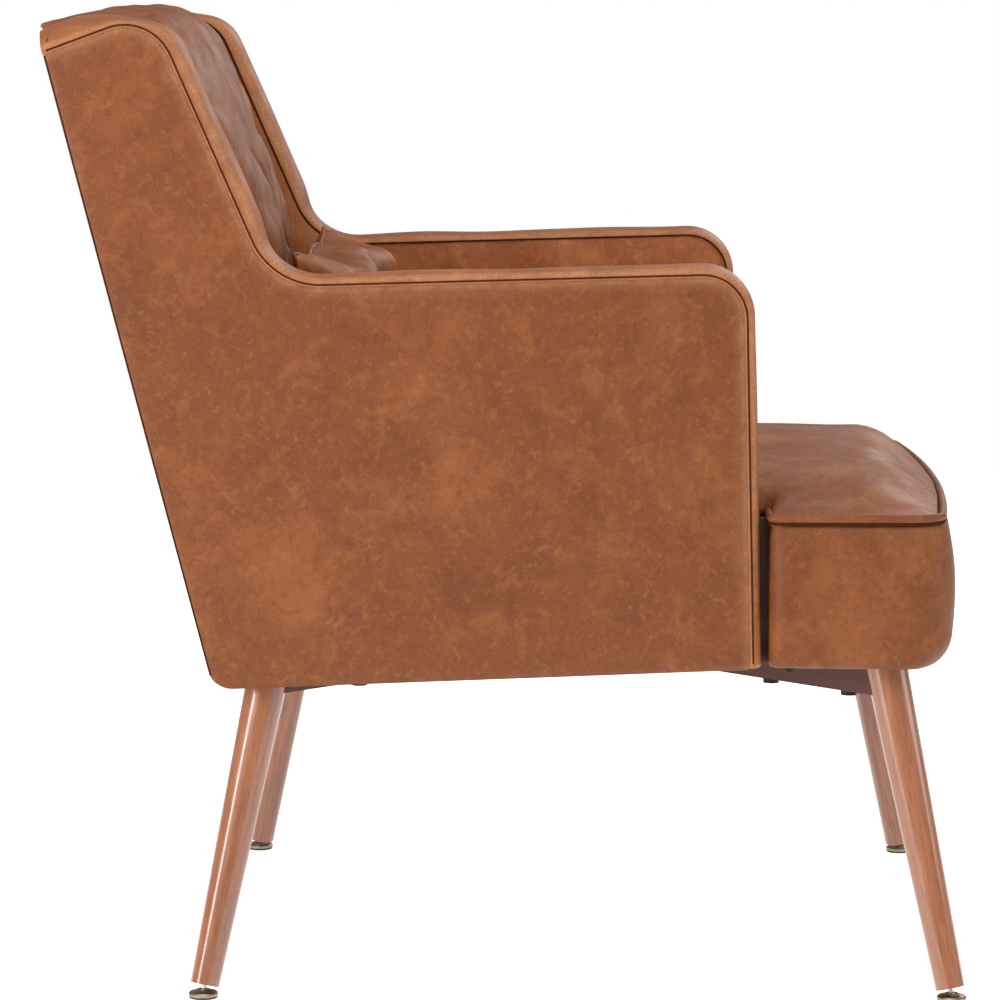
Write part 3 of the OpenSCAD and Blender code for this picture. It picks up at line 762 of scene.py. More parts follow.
def facing_strip(name, side):
    """The crowned strip round the edge of a wing and arm, with its top-stitching, and dark tubes of
    painted shade in its seam grooves.
    """
    shape = StripShape(side)
    across = np.sin(np.linspace(-1, 1, STRIP_COLUMNS) * math.pi / 2)
    rows = [shape.row(share) for share in across] + [shape.base(1), shape.base(-1)]
    sections = np.stack(rows, 1)
    face_wear = STRIP_RUB * rubbed((1 - np.abs(across)) * STRIP_HALF) + STRIP_WEAR
    wear = np.tile(np.concatenate([face_wear, [0, 0]]), len(sections))
    obj = loft(f"facing_strip_soft_{name}", sections, LEATHER["strip"], wear=wear)
    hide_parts(f"facing_strip_{name}")
    for edge, label in ((-1, "inner"), (1, "outer")):
        row = shape.row(edge * (1 - STITCH_INSET / STRIP_HALF))
        tilt = with_x(side * edge * STITCH_LEAN, shape.out)
        thread = stitches(f"strip_stitches_{name}_{label}", row[STITCHED], tilt[STITCHED], THREAD)
        # A dark tube in each seam groove: painted shade.
        groove = shape.row(edge, rise=SEAM_RISE)[SEAMED]
        tube(f"strip_seam_shade_{name}_{label}", groove, SEAM_R, SEAM_PAINTED_SHADE, sides=6)


def chair_sides():
    """The covers and strips of both sides."""
    for name, side in SIDES.items():
        outer_panel(name, side)
        inner_panel(name, side)
        facing_strip(name, side)


# ---- back ----

BACK_HALF = ARM_INNER_X - 1.5
TUFT_ROWS = ((717, (-156, 0, 156)), (628, (-78, 78)), (545, (-156, 0, 156)))
TUFTS = [(x, z) for z, row in TUFT_ROWS for x in row]
BACK_PUFF = 5
BACK_SIDE_H = 4
BACK_CROWN = 12
BACK_FULL_Z = (650, 665)
BACK_LOW_FALL, BACK_LOW_RUN = 8, 110
BACK_HIGH_FALL, BACK_HIGH_RUN, BACK_HIGH_POWER = 17, 135, 1.4
BACK_EDGE = 12
BACK_OVERHANG = 9
TUFT_DEPTH = 5
PLEAT_DEPTH, PLEAT_WIDTH = 2.4, 3.2
BACK_STEP = 3.5
BACK_COLUMNS = 173
BACK_SPREAD = math.pi / 2 * 0.92   # how strongly the columns crowd toward both sides
BACK_FOOT_Z, BACK_FOOT_SINK = 400, 8
BACK_CREST_Z, BACK_CREST_R = BACK_TOP_Z - 3, 60
BACK_CREST_SHARE = 0.4
BACK_REAR_TOP_Z = BACK_TOP_Z - 18
BACK_LAP_Z, BACK_LAP_SINK = WING_REAR_Z + 11, 7
BACK_FADE_LAP, BACK_FADE_RUN = 20, 80   # where the tufts fade out over the crest
BACK_WAVE, BACK_FINE_WAVE, BACK_PLAIN_WAVE = 0.9, 0.35, 0.4
BACK_ROLL_BEHIND, BACK_ROLL_FACE = 0.1, 0.6
CREASE_RUN, CREASE_POWER, CREASE_SINK = 22, 0.9, 3
BUTTON_RUN, BUTTON_POWER = 15, 1.3
PLEAT_REACH = 100   # pleats join tufts no farther apart than this across
PLEAT_FAN = 1.04    # how the pleats over the top tufts spread
PLEAT_OVER_TOP, PLEAT_BELOW, PLEAT_BESIDE = 40, 200, 10
SIDE_PLEAT_RISE, MIDDLE_PLEAT_DROP = 2, 44


def back_section():
    """The back pad's outline in [y, z], from the foot of its face, up, over the top and down behind."""
    ahead = BACK_T / RAKE_COS
    return rounded([
        (rear_y(BACK_FOOT_Z) - ahead, BACK_FOOT_Z, 1),
        (rear_y(BACK_CREST_Z) - ahead, BACK_CREST_Z, BACK_CREST_R),
        (rear_y(BACK_CREST_Z) - ahead * BACK_CREST_SHARE, BACK_CREST_Z, BACK_CREST_R),
        (rear_y(BACK_REAR_TOP_Z) + BACK_OVERHANG, BACK_REAR_TOP_Z, 3),
        (rear_y(BACK_LAP_Z) - BACK_LAP_SINK, BACK_LAP_Z, 2),
        (rear_y(BACK_FOOT_Z) - BACK_FOOT_SINK, BACK_FOOT_Z, 1),
    ], closed=False)


def back_bulge(x, z):
    """How far the face stands out of the section: fullest at the middle, at the lumbar height."""
    low = BACK_LOW_FALL * ease((BACK_FULL_Z[0] - z) / BACK_LOW_RUN)
    up = np.clip((z - BACK_FULL_Z[1]) / BACK_HIGH_RUN, 0, 1)
    high = BACK_HIGH_FALL * up**BACK_HIGH_POWER
    return BACK_SIDE_H + BACK_CROWN * (1 - (x / BACK_HALF) ** 2) - low - high


def tuft_creases():
    """Lines of the pleats between tufts, and from the outer tufts to the edges, in [x, z]."""
    lines = []
    top, middle, low = ([(x, z) for x in row] for z, row in TUFT_ROWS)
    for upper, lower in ((top, middle), (middle, low)):
        for a in upper:
            lines += [(a, b) for b in lower if abs(a[0] - b[0]) < PLEAT_REACH]
    lines += [((x, z), (x * PLEAT_FAN, BACK_TOP_Z + PLEAT_OVER_TOP)) for x, z in top]
    lines += [((x, z), (x, z - PLEAT_BELOW)) for x, z in low]
    end = BACK_HALF + PLEAT_BESIDE
    lines += [((x, z), (math.copysign(end, x), z + SIDE_PLEAT_RISE)) for x, z in top + low if x]
    lines += [((x, z), (math.copysign(end, x), z - MIDDLE_PLEAT_DROP)) for x, z in middle]
    return np.array(lines, float)


def tuft_height(points):
    """Height of the tufted face over the pulled-in creases, for points in [x, z]."""
    crease = np.full(len(points), FAR)
    for a, b in tuft_creases():
        crease = np.minimum(crease, segment_distance(points, a, b - a))
    button = np.full(len(points), FAR)
    for tuft in TUFTS:
        button = np.minimum(button, np.linalg.norm(points - np.array(tuft), axis=1))
    puff = BACK_PUFF * (1 - np.exp(-((crease / CREASE_RUN) ** CREASE_POWER))) - CREASE_SINK
    dimple = TUFT_DEPTH * np.exp(-((button / BUTTON_RUN) ** BUTTON_POWER))
    return puff - PLEAT_DEPTH * ridge(crease, PLEAT_WIDTH) - dimple


def inside_back():
    """The tufted inside back, rolled over the top rail."""
    line = resample(back_section(), BACK_STEP)
    along = tangents(line)
    out = left_of(along)
    xs = BACK_HALF * np.sin(np.linspace(-1, 1, BACK_COLUMNS) * BACK_SPREAD) / math.sin(BACK_SPREAD)
    length = BACK_STEP * np.arange(len(line))
    face_end = length[np.argmax(line[:, 1])]
    fade = 1 - np.clip((length - face_end + BACK_FADE_LAP) / BACK_FADE_RUN, 0, 1)
    waves = Ripples(seed=71, wavelength=60)
    fine = Ripples(seed=72, wavelength=26)
    height_z = line[0, 1] + length * RAKE_COS
    sections = []
    for x in xs:
        points = with_x(x, height_z[:, None])
        ripple = BACK_WAVE * waves(points) + BACK_FINE_WAVE * fine(points)
        tuft = tuft_height(points) + back_bulge(x, height_z) + ripple
        plain = BACK_PLAIN_WAVE * waves(points)
        turned = roll(np.array([BACK_HALF - abs(x)]), BACK_EDGE)[0]
        h = tuft * fade + plain * (1 - fade) - turned * (BACK_ROLL_BEHIND + BACK_ROLL_FACE * fade)
        sections.append(with_x(x, line + out * h[:, None]))
    obj = loft("inside_back_soft", sections, LEATHER["back"])
    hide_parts("inside_back_cover", "back_foam")


def on_rear(points, height):
    """Sets [x, up the back] points on the raked rear face, with heights going rearward."""
    x, up = points.T
    y = REAR_FOOT[0] + up * RAKE_SIN + height * RAKE_COS
    return np.stack([x, y, REAR_FOOT[1] + up * RAKE_COS - height * RAKE_SIN], 1)


REAR_HALF = HALF_W - 3.4
REAR_TOP = (WING_REAR_Z - REAR_FOOT[1]) / RAKE_COS + 10
REAR_SINK = 3
REAR_T = 3
REAR_PUFF, REAR_PUFF_RUN = 2.0, 25
REAR_RIPPLE, REAR_RIPPLE_RUN = 0.6, 40
REAR_LINE_POINTS = 60
REAR_STITCH_INSET = 7
# Radius and offset of the dark tube of painted shade down each rear seam.
REAR_SEAM_R, REAR_SEAM_OUT = 0.9, 0.1


def rear_line(x, low, below_top, sink):
    """A line up the rear face at x, from a height low to a distance below its top."""
    up = np.linspace(low, REAR_TOP - below_top, REAR_LINE_POINTS)
    return on_rear(with_x(x, up[:, None]), -sink)


def outside_back():
    """The plain outside back between the two side panels, stitched down both edges, with a dark tube of
    painted shade in each edge seam.
    """
    waves = Ripples(seed=91, wavelength=170)
    outline = rounded([
        (-REAR_HALF, 0, 6), (REAR_HALF, 0, 6), (REAR_HALF, REAR_TOP, 18), (-REAR_HALF, REAR_TOP, 18),
    ])

    def height(points, edge):
        puff = REAR_PUFF * swell(edge, REAR_PUFF_RUN)
        puff += REAR_RIPPLE * waves(points) * swell(edge, REAR_RIPPLE_RUN)
        return puff + seam_dip(edge) - bottom_roll(points[:, 1])

    def place(points, h):
        return on_rear(points, h - REAR_SINK)

    obj = padded_panel("outside_back_soft", outline, height, place, REAR_T, LEATHER["rear"], spacing=9)
    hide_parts("outside_back_cover")
    normal = np.tile([0, RAKE_COS, -RAKE_SIN], (REAR_LINE_POINTS, 1))
    for name, side in SIDES.items():
        row = rear_line(side * (REAR_HALF - REAR_STITCH_INSET), low=14, below_top=16, sink=1.6)
        stitches(f"rear_stitches_{name}", row, normal, THREAD)
        # A dark tube in the edge seam: painted shade.
        seam = rear_line(side * (REAR_HALF + REAR_SEAM_OUT), low=8, below_top=14, sink=1.2)
        tube(f"rear_seam_{name}", seam, REAR_SEAM_R, SEAM_PAINTED_SHADE, sides=6)


# ---- seat ----

SEAT_CORNER_R = 30
SEAT_BOW = 16
SEAT_INNER_X = ARM_INNER_X - 3
DOME_RISE = 44
DOME_RUN = 68
DOME_ARCH = 2.1
BORDER_BULGE = 10
BORDER_FOOT_Z = 283.6
BORDER_FOOT_SLOPE = 0.01
BORDER_LAP = 24
SEAT_TOP_T = 5
FOOT_R_SIDE, FOOT_R_FRONT, FOOT_R_REAR = (14, 12), (26, 32), (5, 4)   # outward and upward
WELT_R = 3.6
WELT_RISE, WELT_INSET = 2.6, 0.8   # the welt's middle, over and inside the edge of the border
# Sizes of the dark tubes of painted shade in the seams below and above the welt.
WELT_SEAM_R, WELT_SEAM_OUT, WELT_SEAM_DROP = 1.5, 0.6, 0.6
UPPER_SEAM_R, UPPER_SEAM_INSET, UPPER_SEAM_RISE = 1.0, 4, 1.8
NOTCH_OVERLAP, NOTCH_GAP = 2, 4
FRONT_FACING = -0.4   # the upper seam runs where the normal's y is under this
BOW_POINTS, CORNER_POINTS, EAR_POINTS = 25, 10, 7
EAR_R = 9
SEAT_SIDE_ROLL, SEAT_REAR_ROLL = 14, 16
SEAT_TUCK_RUN = 14
SEAT_FILL_RUN, SEAT_SOFT_RUN = 40, 20   # how far in from the welt it is at its full height, and soft
SEAT_WAVE, SEAT_FINE_WAVE = 0.7, 0.35
PUCKER_AT, PUCKER_WIDTH = 26, 22
BORDER_TOP_Z = WELT_Z - 2
BORDER_STEP = 5.0
BORDER_ROWS, FOOT_ROWS = 22, 10
BULGE_SPAN, BULGE_START, BULGE_POWER = 0.62, 0.04, 0.8
BORDER_TUCK, BORDER_TUCK_RATE = 2.4, 22
BORDER_PULL = 0.6


def bow_y(x):
    """Y of the bowed front of the seat at x."""
    return SEAT_FRONT_Y + SEAT_BOW * (x / SEAT_HALF) ** 2


def front_line():
    """Plan of the welt, from the right arm round the front to the left arm."""
    square = SEAT_HALF - SEAT_CORNER_R
    bow = [(x, bow_y(x)) for x in np.linspace(-square, square, BOW_POINTS)]
    corner_y = bow_y(square) + SEAT_CORNER_R
    notch = SEAT_NOTCH_Y + NOTCH_OVERLAP
    left = []
    for a in np.radians(np.linspace(0, 90, CORNER_POINTS))[1:]:
        left.append((square + SEAT_CORNER_R * math.sin(a), corner_y - SEAT_CORNER_R * math.cos(a)))
    for a in np.radians(np.linspace(0, 90, EAR_POINTS)):
        left.append((SEAT_HALF - EAR_R + EAR_R * math.cos(a), notch - EAR_R + EAR_R * math.sin(a)))
    left.append((SEAT_INNER_X + NOTCH_GAP, notch))
    right = [(-x, y) for x, y in reversed(left)]
    return np.array(right + bow + left)


def quarter_wave(share):
    """Rise from 0 to 1 that starts steep and ends level."""
    return np.sin(np.clip(share, 0, 1) * math.pi / 2)


def dome_rise(points, behind_front):
    """Rise of the seat top over the welt, arched across and sloping up from the front edge."""
    across = 1 - np.clip(np.abs(points[:, 0]) / SEAT_HALF, 0, 1) ** DOME_ARCH
    return DOME_RISE * across * quarter_wave(behind_front / DOME_RUN)


def seat_top():
    """The domed top of the T-shaped seat, tucked down beside the arms and the back."""
    front = front_line()
    outline = np.vstack([
        front, [SEAT_INNER_X, SEAT_NOTCH_Y], [SEAT_INNER_X, SEAT_BACK_Y],
        [-SEAT_INNER_X, SEAT_BACK_Y], [-SEAT_INNER_X, SEAT_NOTCH_Y],
    ])
    waves = Ripples(seed=111, wavelength=120)
    fine = Ripples(seed=112, wavelength=34)

    def height(points, edge):
        x, y = points.T
        welt = distance_to(points, front, closed=False)
        rise = dome_rise(points, y - bow_y(x))
        rise = np.minimum(rise, DOME_RISE * quarter_wave(welt / SEAT_FILL_RUN))
        tuck = roll(np.maximum(SEAT_INNER_X - np.abs(x), 0), SEAT_SIDE_ROLL)
        tuck += roll(np.maximum(SEAT_BACK_Y - y, 0), SEAT_REAR_ROLL)
        tuck *= ease((y - SEAT_NOTCH_Y) / SEAT_TUCK_RUN)
        pucker = SEAT_FINE_WAVE * fine(points) * ridge(welt - PUCKER_AT, PUCKER_WIDTH)
        return rise - tuck + (SEAT_WAVE * waves(points) + pucker) * np.clip(welt / SEAT_SOFT_RUN, 0, 1)

    def place(points, h):
        return np.column_stack([points, WELT_Z + 1 + h])

    obj = padded_panel("seat_top_soft", outline, height, place, SEAT_TOP_T, LEATHER["seat"], spacing=8)
    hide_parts("seat_top_cover", "seat_wadding")


def border_section(foot_z, ripple, facing_rear):
    """Outward offset and height of the border, from under the welt down and under to the dust cover.

    facing_rear is 1 beside the arm, where the border is upright, -1 at the front and 0 at the sides.
    """
    drop = np.linspace(0, 1, BORDER_ROWS)
    flatness = max(0.0, facing_rear)
    r_out, r_z = [
        side + max(0.0, -facing_rear) * (front - side) + flatness * (rear - side)
        for side, front, rear in zip(FOOT_R_SIDE, FOOT_R_FRONT, FOOT_R_REAR)
    ]
    z = BORDER_TOP_Z + (foot_z + r_z - BORDER_TOP_Z) * drop
    bulge = BORDER_BULGE * np.sin((drop * BULGE_SPAN + BULGE_START) * math.pi) ** BULGE_POWER
    bulge += ripple * np.sin(drop * math.pi)
    out = bulge * (1 - flatness) - BORDER_TUCK * np.exp(-drop * BORDER_TUCK_RATE)
    turn = np.radians(np.linspace(0, 90, FOOT_ROWS))[1:]
    arc_out = out[-1] - r_out * (1 - np.cos(turn))
    arc_z = foot_z + r_z * (1 - np.sin(turn))
    return np.concatenate([out, arc_out]), np.concatenate([z, arc_z])


def at_height(plan, z):
    """[x, y] points set at height z."""
    return np.column_stack([plan, np.full(len(plan), z)])


def seat_border():
    """The boxed border round the seat's front, its welt, and dark tubes of painted shade in the seams
    below and above the welt.
    """
    line = resample(front_line(), BORDER_STEP)
    out_dir = -left_of(tangents(line))
    along = BORDER_STEP * np.arange(len(line))
    pulls = Ripples(seed=131, wavelength=46)(np.column_stack([along, along * 0]))
    sections = []
    for point, normal, pull in zip(line, out_dir, pulls):
        foot = BORDER_FOOT_Z + BORDER_FOOT_SLOPE * (point[1] - SEAT_NOTCH_Y)
        out, z = border_section(foot, BORDER_PULL * pull, normal[1])
        skin = np.column_stack([point + normal * out[:, None], z])
        inner = point - normal * BORDER_LAP
        sections.append(np.vstack([skin, [*inner, foot], [*inner, BORDER_TOP_Z]]))
    obj = loft("seat_border_soft", sections, LEATHER["border"])
    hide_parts("seat_border_cover", "seat_border_padding")
    middle = WELT_Z + WELT_RISE
    path = at_height(line - out_dir * WELT_INSET, middle)
    welt = tube("seat_welt_soft", path, WELT_R, LEATHER["welt"], sides=16)
    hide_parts("seat_welt")
    for name, side in SIDES.items():
        ear_tuck(name, side)
    # Dark tubes in the seams below and above the welt: painted shade.
    seam = at_height(line + WELT_SEAM_OUT * out_dir, middle - WELT_R - WELT_SEAM_DROP)
    tube("welt_seam_shade_lower", seam, WELT_SEAM_R, SEAM_PAINTED_SHADE, sides=6)
    seam = at_height(line - UPPER_SEAM_INSET * out_dir, middle + UPPER_SEAM_RISE)
    seam = seam[out_dir[:, 1] < FRONT_FACING]
    tube("welt_seam_shade_upper", seam, UPPER_SEAM_R, SEAM_PAINTED_SHADE, sides=6)


DUST_HALF_X = 268
DUST_FRONT_Y, DUST_REAR_Y = -350, 230
DUST_T = 1
DUST_SAG, DUST_SAG_RUN = 0.3, 60


def dust_cover():
    """The thin woven cloth stretched under the seat frame."""
    outline = rounded([
        (-DUST_HALF_X, DUST_FRONT_Y, 20), (DUST_HALF_X, DUST_FRONT_Y, 20),
        (DUST_HALF_X, DUST_REAR_Y, 4), (-DUST_HALF_X, DUST_REAR_Y, 4),
    ])
    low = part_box("dust_cover")[0][2] / MM + 0.2
    sag = Ripples(seed=161, wavelength=120)

    def height(points, edge):
        return DUST_SAG * sag(points) * np.clip(edge / DUST_SAG_RUN, 0, 1)

    def place(points, h):
        return np.column_stack([points, low + DUST_T + h])

    obj = padded_panel("dust_cover_cloth", outline, height, place, DUST_T, DUST_CLOTH, spacing=16)
    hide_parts("dust_cover")


TUCK_X = 277
TUCK_Y = (SEAT_NOTCH_Y - 14, ARM_FRONT_FOOT_Y + 8)
TUCK_Z = (underside_at(TUCK_Y[0]) + 2, WELT_Z + 2)
TUCK_T = 3
TUCK_RIPPLE = 1.2


def ear_tuck(name, side):
    """The end of the border cover, pulled back between the seat's ear and the arm, in a quarter-bright
    copy of the leather: painted shade of the deep gap.
    """
    ripple = Ripples(seed=141 + side, wavelength=60)

    def height(points, edge):
        return TUCK_RIPPLE * ripple(points) + seam_dip(edge)

    (y0, y1), (z0, z1) = TUCK_Y, TUCK_Z
    outline = np.array([[y0, z0], [y1, z0], [y1, z1], [y0, z1]])
    place = side_place(side, TUCK_X, 1)
    obj = padded_panel(f"ear_tuck_{name}", outline, height, place, TUCK_T, LEATHER["tuck"])


# ---- lumbar pillow ----

PILLOW_W, PILLOW_H = 404, 182
PILLOW_MIDDLE_Z = 546
PILLOW_AHEAD = 52   # from the back's plain face to the pillow's middle
PILLOW_FRONT, PILLOW_RIM, PILLOW_REAR = 52, -12, -40   # its front, rim and rear, ahead of its middle
PILLOW_FRAMES = 24
PILLOW_PRESSURE = 5.0
PILLOW_SEAM_R = 1.9
PILLOW_WAIST, PILLOW_WAIST_X = 0.07, 0.03   # how much narrower its middle is than its ears
EAR_POWER, EAR_POWER_X = 5, 4   # how far out along the edges the ears start
PILLOW_BLANK_SWELL = 26
PILLOW_CRUSH, PILLOW_CRUSH_RUN = 1.2, 20
PILLOW_SQUASH = 0.15   # how much of its depth in the seat is left after it settles
CLOTH = {
    "quality": 6, "mass": 0.35, "tension_stiffness": 18, "compression_stiffness": 18,
    "shear_stiffness": 6, "bending_stiffness": 1.4, "use_pressure": True,
}


def pillow_blank(cols=90, rows=42):
    """Two leather faces joined round their rim, their corners drawn out into ears. z is thickness."""
    bm = bmesh.new()
    layers = []
    for layer in (1, -1):
        grid = []
        for j in range(rows + 1):
            for i in range(cols + 1):
                u, v = 2 * i / cols - 1, 2 * j / rows - 1
                on_rim = i in (0, cols) or j in (0, rows)
                if on_rim and layer < 0:
                    grid.append(layers[0][j * (cols + 1) + i])
                    continue
                waist = 1 - PILLOW_WAIST * (1 - abs(u) ** EAR_POWER)
                waist_x = 1 - PILLOW_WAIST_X * (1 - abs(v) ** EAR_POWER_X)
                x, y = u * PILLOW_W / 2 * waist_x, v * PILLOW_H / 2 * waist
                thick = PILLOW_BLANK_SWELL * (1 - u**2) ** 0.5 * (1 - v**2) ** 0.5
                grid.append(bm.verts.new((x * MM, y * MM, layer * thick * MM)))
        layers.append(grid)
    for grid in layers:
        for j in range(rows):
            for i in range(cols):
                a = j * (cols + 1) + i
                bm.faces.new((grid[a], grid[a + 1], grid[a + cols + 2], grid[a + cols + 1]))
    bmesh.ops.recalc_face_normals(bm, faces=bm.faces)
    mesh = bpy.data.meshes.new("lumbar_pillow_soft")
    bm.to_mesh(mesh)
    bm.free()
    return mesh, cols, rows


def keep_evaluated(obj):
    """Makes an object's mesh what its modifiers now make of it, and removes them."""
    graph = bpy.context.evaluated_depsgraph_get()
    shaped = bpy.data.meshes.new_from_object(obj.evaluated_get(graph))
    obj.modifiers.clear()
    obj.data = shaped


def inflate(obj, frames, pressure):
    """Blows a closed cloth mesh up and keeps its last frame."""
    cloth = obj.modifiers.new("Cloth", "CLOTH")
    for key, value in CLOTH.items():
        setattr(cloth.settings, key, value)
    cloth.settings.uniform_pressure_force = pressure
    cloth.settings.effector_weights.gravity = 0
    cloth.collision_settings.use_collision = False
    cloth.point_cache.frame_start = 1
    cloth.point_cache.frame_end = frames
    scene = bpy.context.scene
    for at in range(1, frames + 1):
        scene.frame_set(at)
    keep_evaluated(obj)
    scene.frame_set(1)


def seat_height(points):
    """Height of the seat top below a point, for laying the pillow on it."""
    return WELT_Z + 2 + dome_rise(points, np.full(len(points), 2.0 * DOME_RUN))


def crumpled(local):
    """The blown-up pillow's points, crumpled and drawn to its thickness."""
    crush = Ripples(seed=151, wavelength=70)
    full = np.clip(np.abs(local[:, 2]) / PILLOW_CRUSH_RUN, 0, 1)
    local[:, 2] += np.sign(local[:, 2]) * PILLOW_CRUSH * crush(local[:, :2]) * full
    depth = local[:, 2] / np.abs(local[:, 2]).max()
    ahead, behind = PILLOW_FRONT - PILLOW_RIM, PILLOW_RIM - PILLOW_REAR
    local[:, 2] = PILLOW_RIM + depth * np.where(depth > 0, ahead, behind)
    return local


def leant(local):
    """The pillow's points leant on the back and settled on the seat."""
    middle = -(BACK_T + PILLOW_AHEAD)
    up = (PILLOW_MIDDLE_Z - REAR_FOOT[1] + middle * RAKE_SIN) / RAKE_COS + local[:, 1]
    world = on_rear(np.column_stack([local[:, 0], up]), middle - local[:, 2])
    floor = seat_height(world)
    world[:, 2] = np.maximum(world[:, 2], floor + PILLOW_SQUASH * (world[:, 2] - floor))
    return world


def rim_indices(cols, rows):
    """Indices of the blank's rim points, in order round it."""
    width = cols + 1
    left = [j * width for j in range(rows)]
    top = [rows * width + i for i in range(cols)]
    right = [j * width + cols for j in range(rows, 0, -1)]
    return left + top + right + list(range(cols, 0, -1))


def lumbar_pillow():
    """The loose pillow: blown up as cloth, then leant on the back and set on the seat."""
    mesh, cols, rows = pillow_blank()
    obj = bpy.data.objects.new("lumbar_pillow_soft", mesh)
    bpy.context.collection.objects.link(obj)
    inflate(obj, PILLOW_FRAMES, PILLOW_PRESSURE)
    mesh = obj.data
    local = np.empty(len(mesh.vertices) * 3)
    mesh.vertices.foreach_get("co", local)
    world = leant(crumpled(local.reshape(-1, 3) / MM))
    mesh.vertices.foreach_set("co", (world * MM).ravel())
    mesh.polygons.foreach_set("use_smooth", [True] * len(mesh.polygons))
    mesh.materials.clear()
    mesh.materials.append(LEATHER["pillow"])
    smooth = obj.modifiers.new("Subdivision", "SUBSURF")
    smooth.levels = smooth.render_levels = 1
    keep_evaluated(obj)
    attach(obj, "pillow")
    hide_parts("lumbar_pillow")
    rim = np.array([obj.data.vertices[i].co for i in rim_indices(cols, rows)]) / MM
    seam = tube(
        "lumbar_pillow_seam", rim, PILLOW_SEAM_R, LEATHER["welt"], "pillow", sides=8, closed=True,
    )


# ---- the CAD nodes that still show ----

WALNUT_LIGHT, WALNUT_DARK = (0.36, 0.125, 0.047), (0.16, 0.05, 0.02)
BAR_LIGHT, BAR_DARK = (0.1, 0.03, 0.013), (0.05, 0.015, 0.007)
LEG_LEAN = math.atan(0.2)
BAR_ANGLE = math.radians(46.4)


def leg_material(name, side, end):
    """Walnut with its grain along a splayed leg."""
    turn = (end * LEG_LEAN, -side * LEG_LEAN, 0)
    return wood(f"walnut_{name}", WALNUT_LIGHT, WALNUT_DARK, turn, 0.28, 0.9, shift=(side, end, 0))


def bar_material(name, angle):
    """Dark wood with its grain along a level bar."""
    return wood(f"walnut_{name}", BAR_LIGHT, BAR_DARK, (0, math.pi / 2, angle), 0.6, 0.0)


def node_materials():
    """Material of every CAD node that still shows."""
    pine = wood("frame_timber", (0.62, 0.42, 0.22), (0.45, 0.28, 0.13), (0, math.pi / 2, 0), 0.6, 0.0)
    found = {
        "underframe_bar_upper": bar_material("bar_upper", -BAR_ANGLE),
        "underframe_bar_lower": bar_material("bar_lower", BAR_ANGLE - math.pi),
        "underframe_bolts": metal("black_bolt", (0.03, 0.03, 0.03), 0.4),
        "barrel_nuts": metal("black_nut", (0.03, 0.03, 0.03), 0.4),
        "leg_bolts": metal("black_leg_bolt", (0.05, 0.05, 0.05), 0.4),
        "glide_base": metal("glide_bronze", (0.34, 0.28, 0.19), 0.28),
        "glide_pad": matt("glide_black", (0.008, 0.008, 0.008), (0.02, 0.02, 0.02), 400, 0.55),
        "glide_s": metal("zinc", (0.6, 0.6, 0.6), 0.3),
        "tee_nuts": metal("tee_zinc", (0.6, 0.6, 0.6), 0.35),
        "spring_clips": metal("clip_zinc", (0.5, 0.5, 0.5), 0.4),
        "seat_springs": metal("spring_wire", (0.15, 0.15, 0.16), 0.4),
        "back_webbing": woven("webbing", (0.01, 0.01, 0.01), (0.06, 0.06, 0.06)),
        "seat_foam": matt("foam", (0.75, 0.68, 0.45), (0.86, 0.8, 0.6), 260, 0.95),
    }
    for end_name, end in (("front", -1), ("rear", 1)):
        for side_name, side in SIDES.items():
            leg = f"{end_name}_{side_name}"
            found[f"leg_{leg}"] = leg_material(leg, side, end)
    for name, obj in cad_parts.items():
        match = [m for start, m in found.items() if name.startswith(start)]
        material = match[0] if match else pine
        obj.data.materials.clear()
        obj.data.materials.append(material)


# ---- floor, lights and camera ----

CAMERA_AT = Vector((-3.7537, -0.0702, 0.862))
CAMERA_PITCH = math.radians(7.18)
CAMERA_YAW = math.radians(1.254)
CAMERA_LENS, CAMERA_SENSOR = 149.4, 36
WORLD_LIGHT = 0.3
FLOOR_SIZE, FLOOR_GLOW = 7, 0.7
LIGHTS = (
    # name, place, what it faces, width, power, height where it differs
    ("key", (-3.0, -1.4, 2.8), (0, 0, 0.5), 1.8, 58),
    ("fill", (-2.8, 1.9, 1.7), (0, 0, 0.45), 1.4, 25),
    ("top", (-0.7, 0.3, 3.2), (0, 0, 0.4), 2.4, 46),
    ("leg_strip", (-1.5, 1.8, 0.75), (-0.3, 0.2, 0.2), 0.45, 24, 1.4),
    ("front", (-0.4, -3.2, 1.4), (0, 0, 0.4), 1.6, 26),
    ("left", (2.8, -1.4, 2.0), (0, 0, 0.4), 1.8, 24),
)


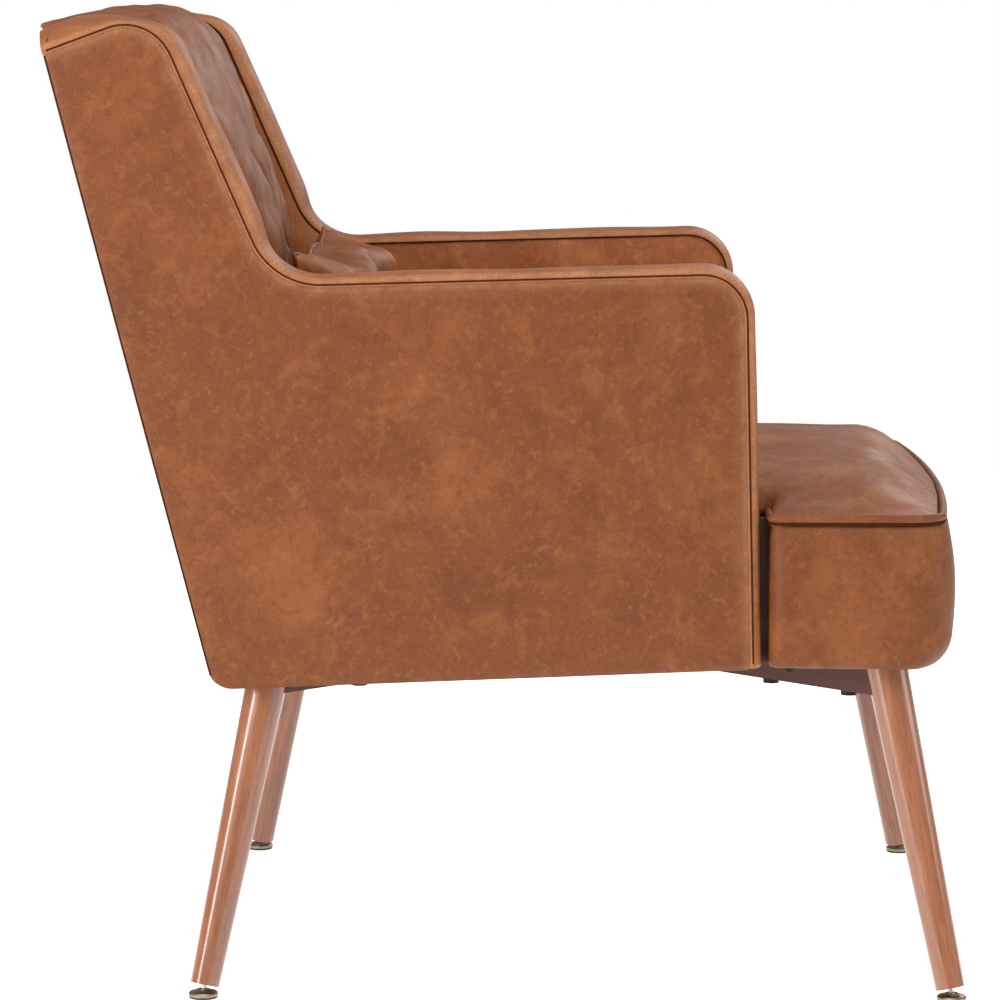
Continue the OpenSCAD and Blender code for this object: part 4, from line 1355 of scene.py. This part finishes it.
def surroundings():
    """Pale floor and world."""
    bpy.ops.mesh.primitive_plane_add(size=FLOOR_SIZE, location=(0, 0, 0))
    floor = bpy.context.object
    floor.name = "floor"
    n = Nodes("floor_pale")
    floor.data.materials.append(n.finish(
        Base_Color=(0.88, 0.88, 0.88, 1), Roughness=0.9,
        Emission_Color=(1, 1, 1, 1), Emission_Strength=FLOOR_GLOW,
    ))
    world = bpy.data.worlds.new("studio")
    bpy.context.scene.world = world
    world.use_nodes = True
    tree = world.node_tree
    backdrop = tree.nodes["Background"]
    backdrop.inputs["Color"].default_value = (1, 1, 1, 1)
    seen = tree.nodes.new("ShaderNodeLightPath").outputs["Is Camera Ray"]
    strength = tree.nodes.new("ShaderNodeMapRange")
    strength.inputs["To Min"].default_value = WORLD_LIGHT
    tree.links.new(seen, strength.inputs["Value"])
    tree.links.new(strength.outputs["Result"], backdrop.inputs["Strength"])


def area_light(name, at, toward, size, power, size_y=None):
    """A soft box at one point, facing another."""
    data = bpy.data.lights.new(name, "AREA")
    data.energy = power
    data.shape = "RECTANGLE"
    data.size = size
    data.size_y = size_y or size
    lamp = bpy.data.objects.new(name, data)
    lamp.location = at
    lamp.rotation_euler = (Vector(toward) - Vector(at)).to_track_quat("-Z", "Y").to_euler()
    bpy.context.collection.objects.link(lamp)


def lights():
    """The soft boxes round the chair."""
    for light in LIGHTS:
        area_light(*light)


def camera():
    """The view of the chair's right side."""
    data = bpy.data.cameras.new("camera")
    data.lens = CAMERA_LENS
    data.sensor_width = CAMERA_SENSOR
    obj = bpy.data.objects.new("camera", data)
    forward = Vector((
        math.cos(CAMERA_PITCH) * math.cos(CAMERA_YAW),
        math.cos(CAMERA_PITCH) * math.sin(CAMERA_YAW),
        -math.sin(CAMERA_PITCH),
    ))
    obj.location = CAMERA_AT
    obj.rotation_euler = forward.to_track_quat("-Z", "Y").to_euler()
    bpy.context.collection.objects.link(obj)
    bpy.context.scene.camera = obj


camera()
surroundings()
lights()
node_materials()
chair_sides()
inside_back()
outside_back()
seat_top()
seat_border()
dust_cover()
lumbar_pillow()
bpy.context.scene.view_settings.view_transform = "Standard"
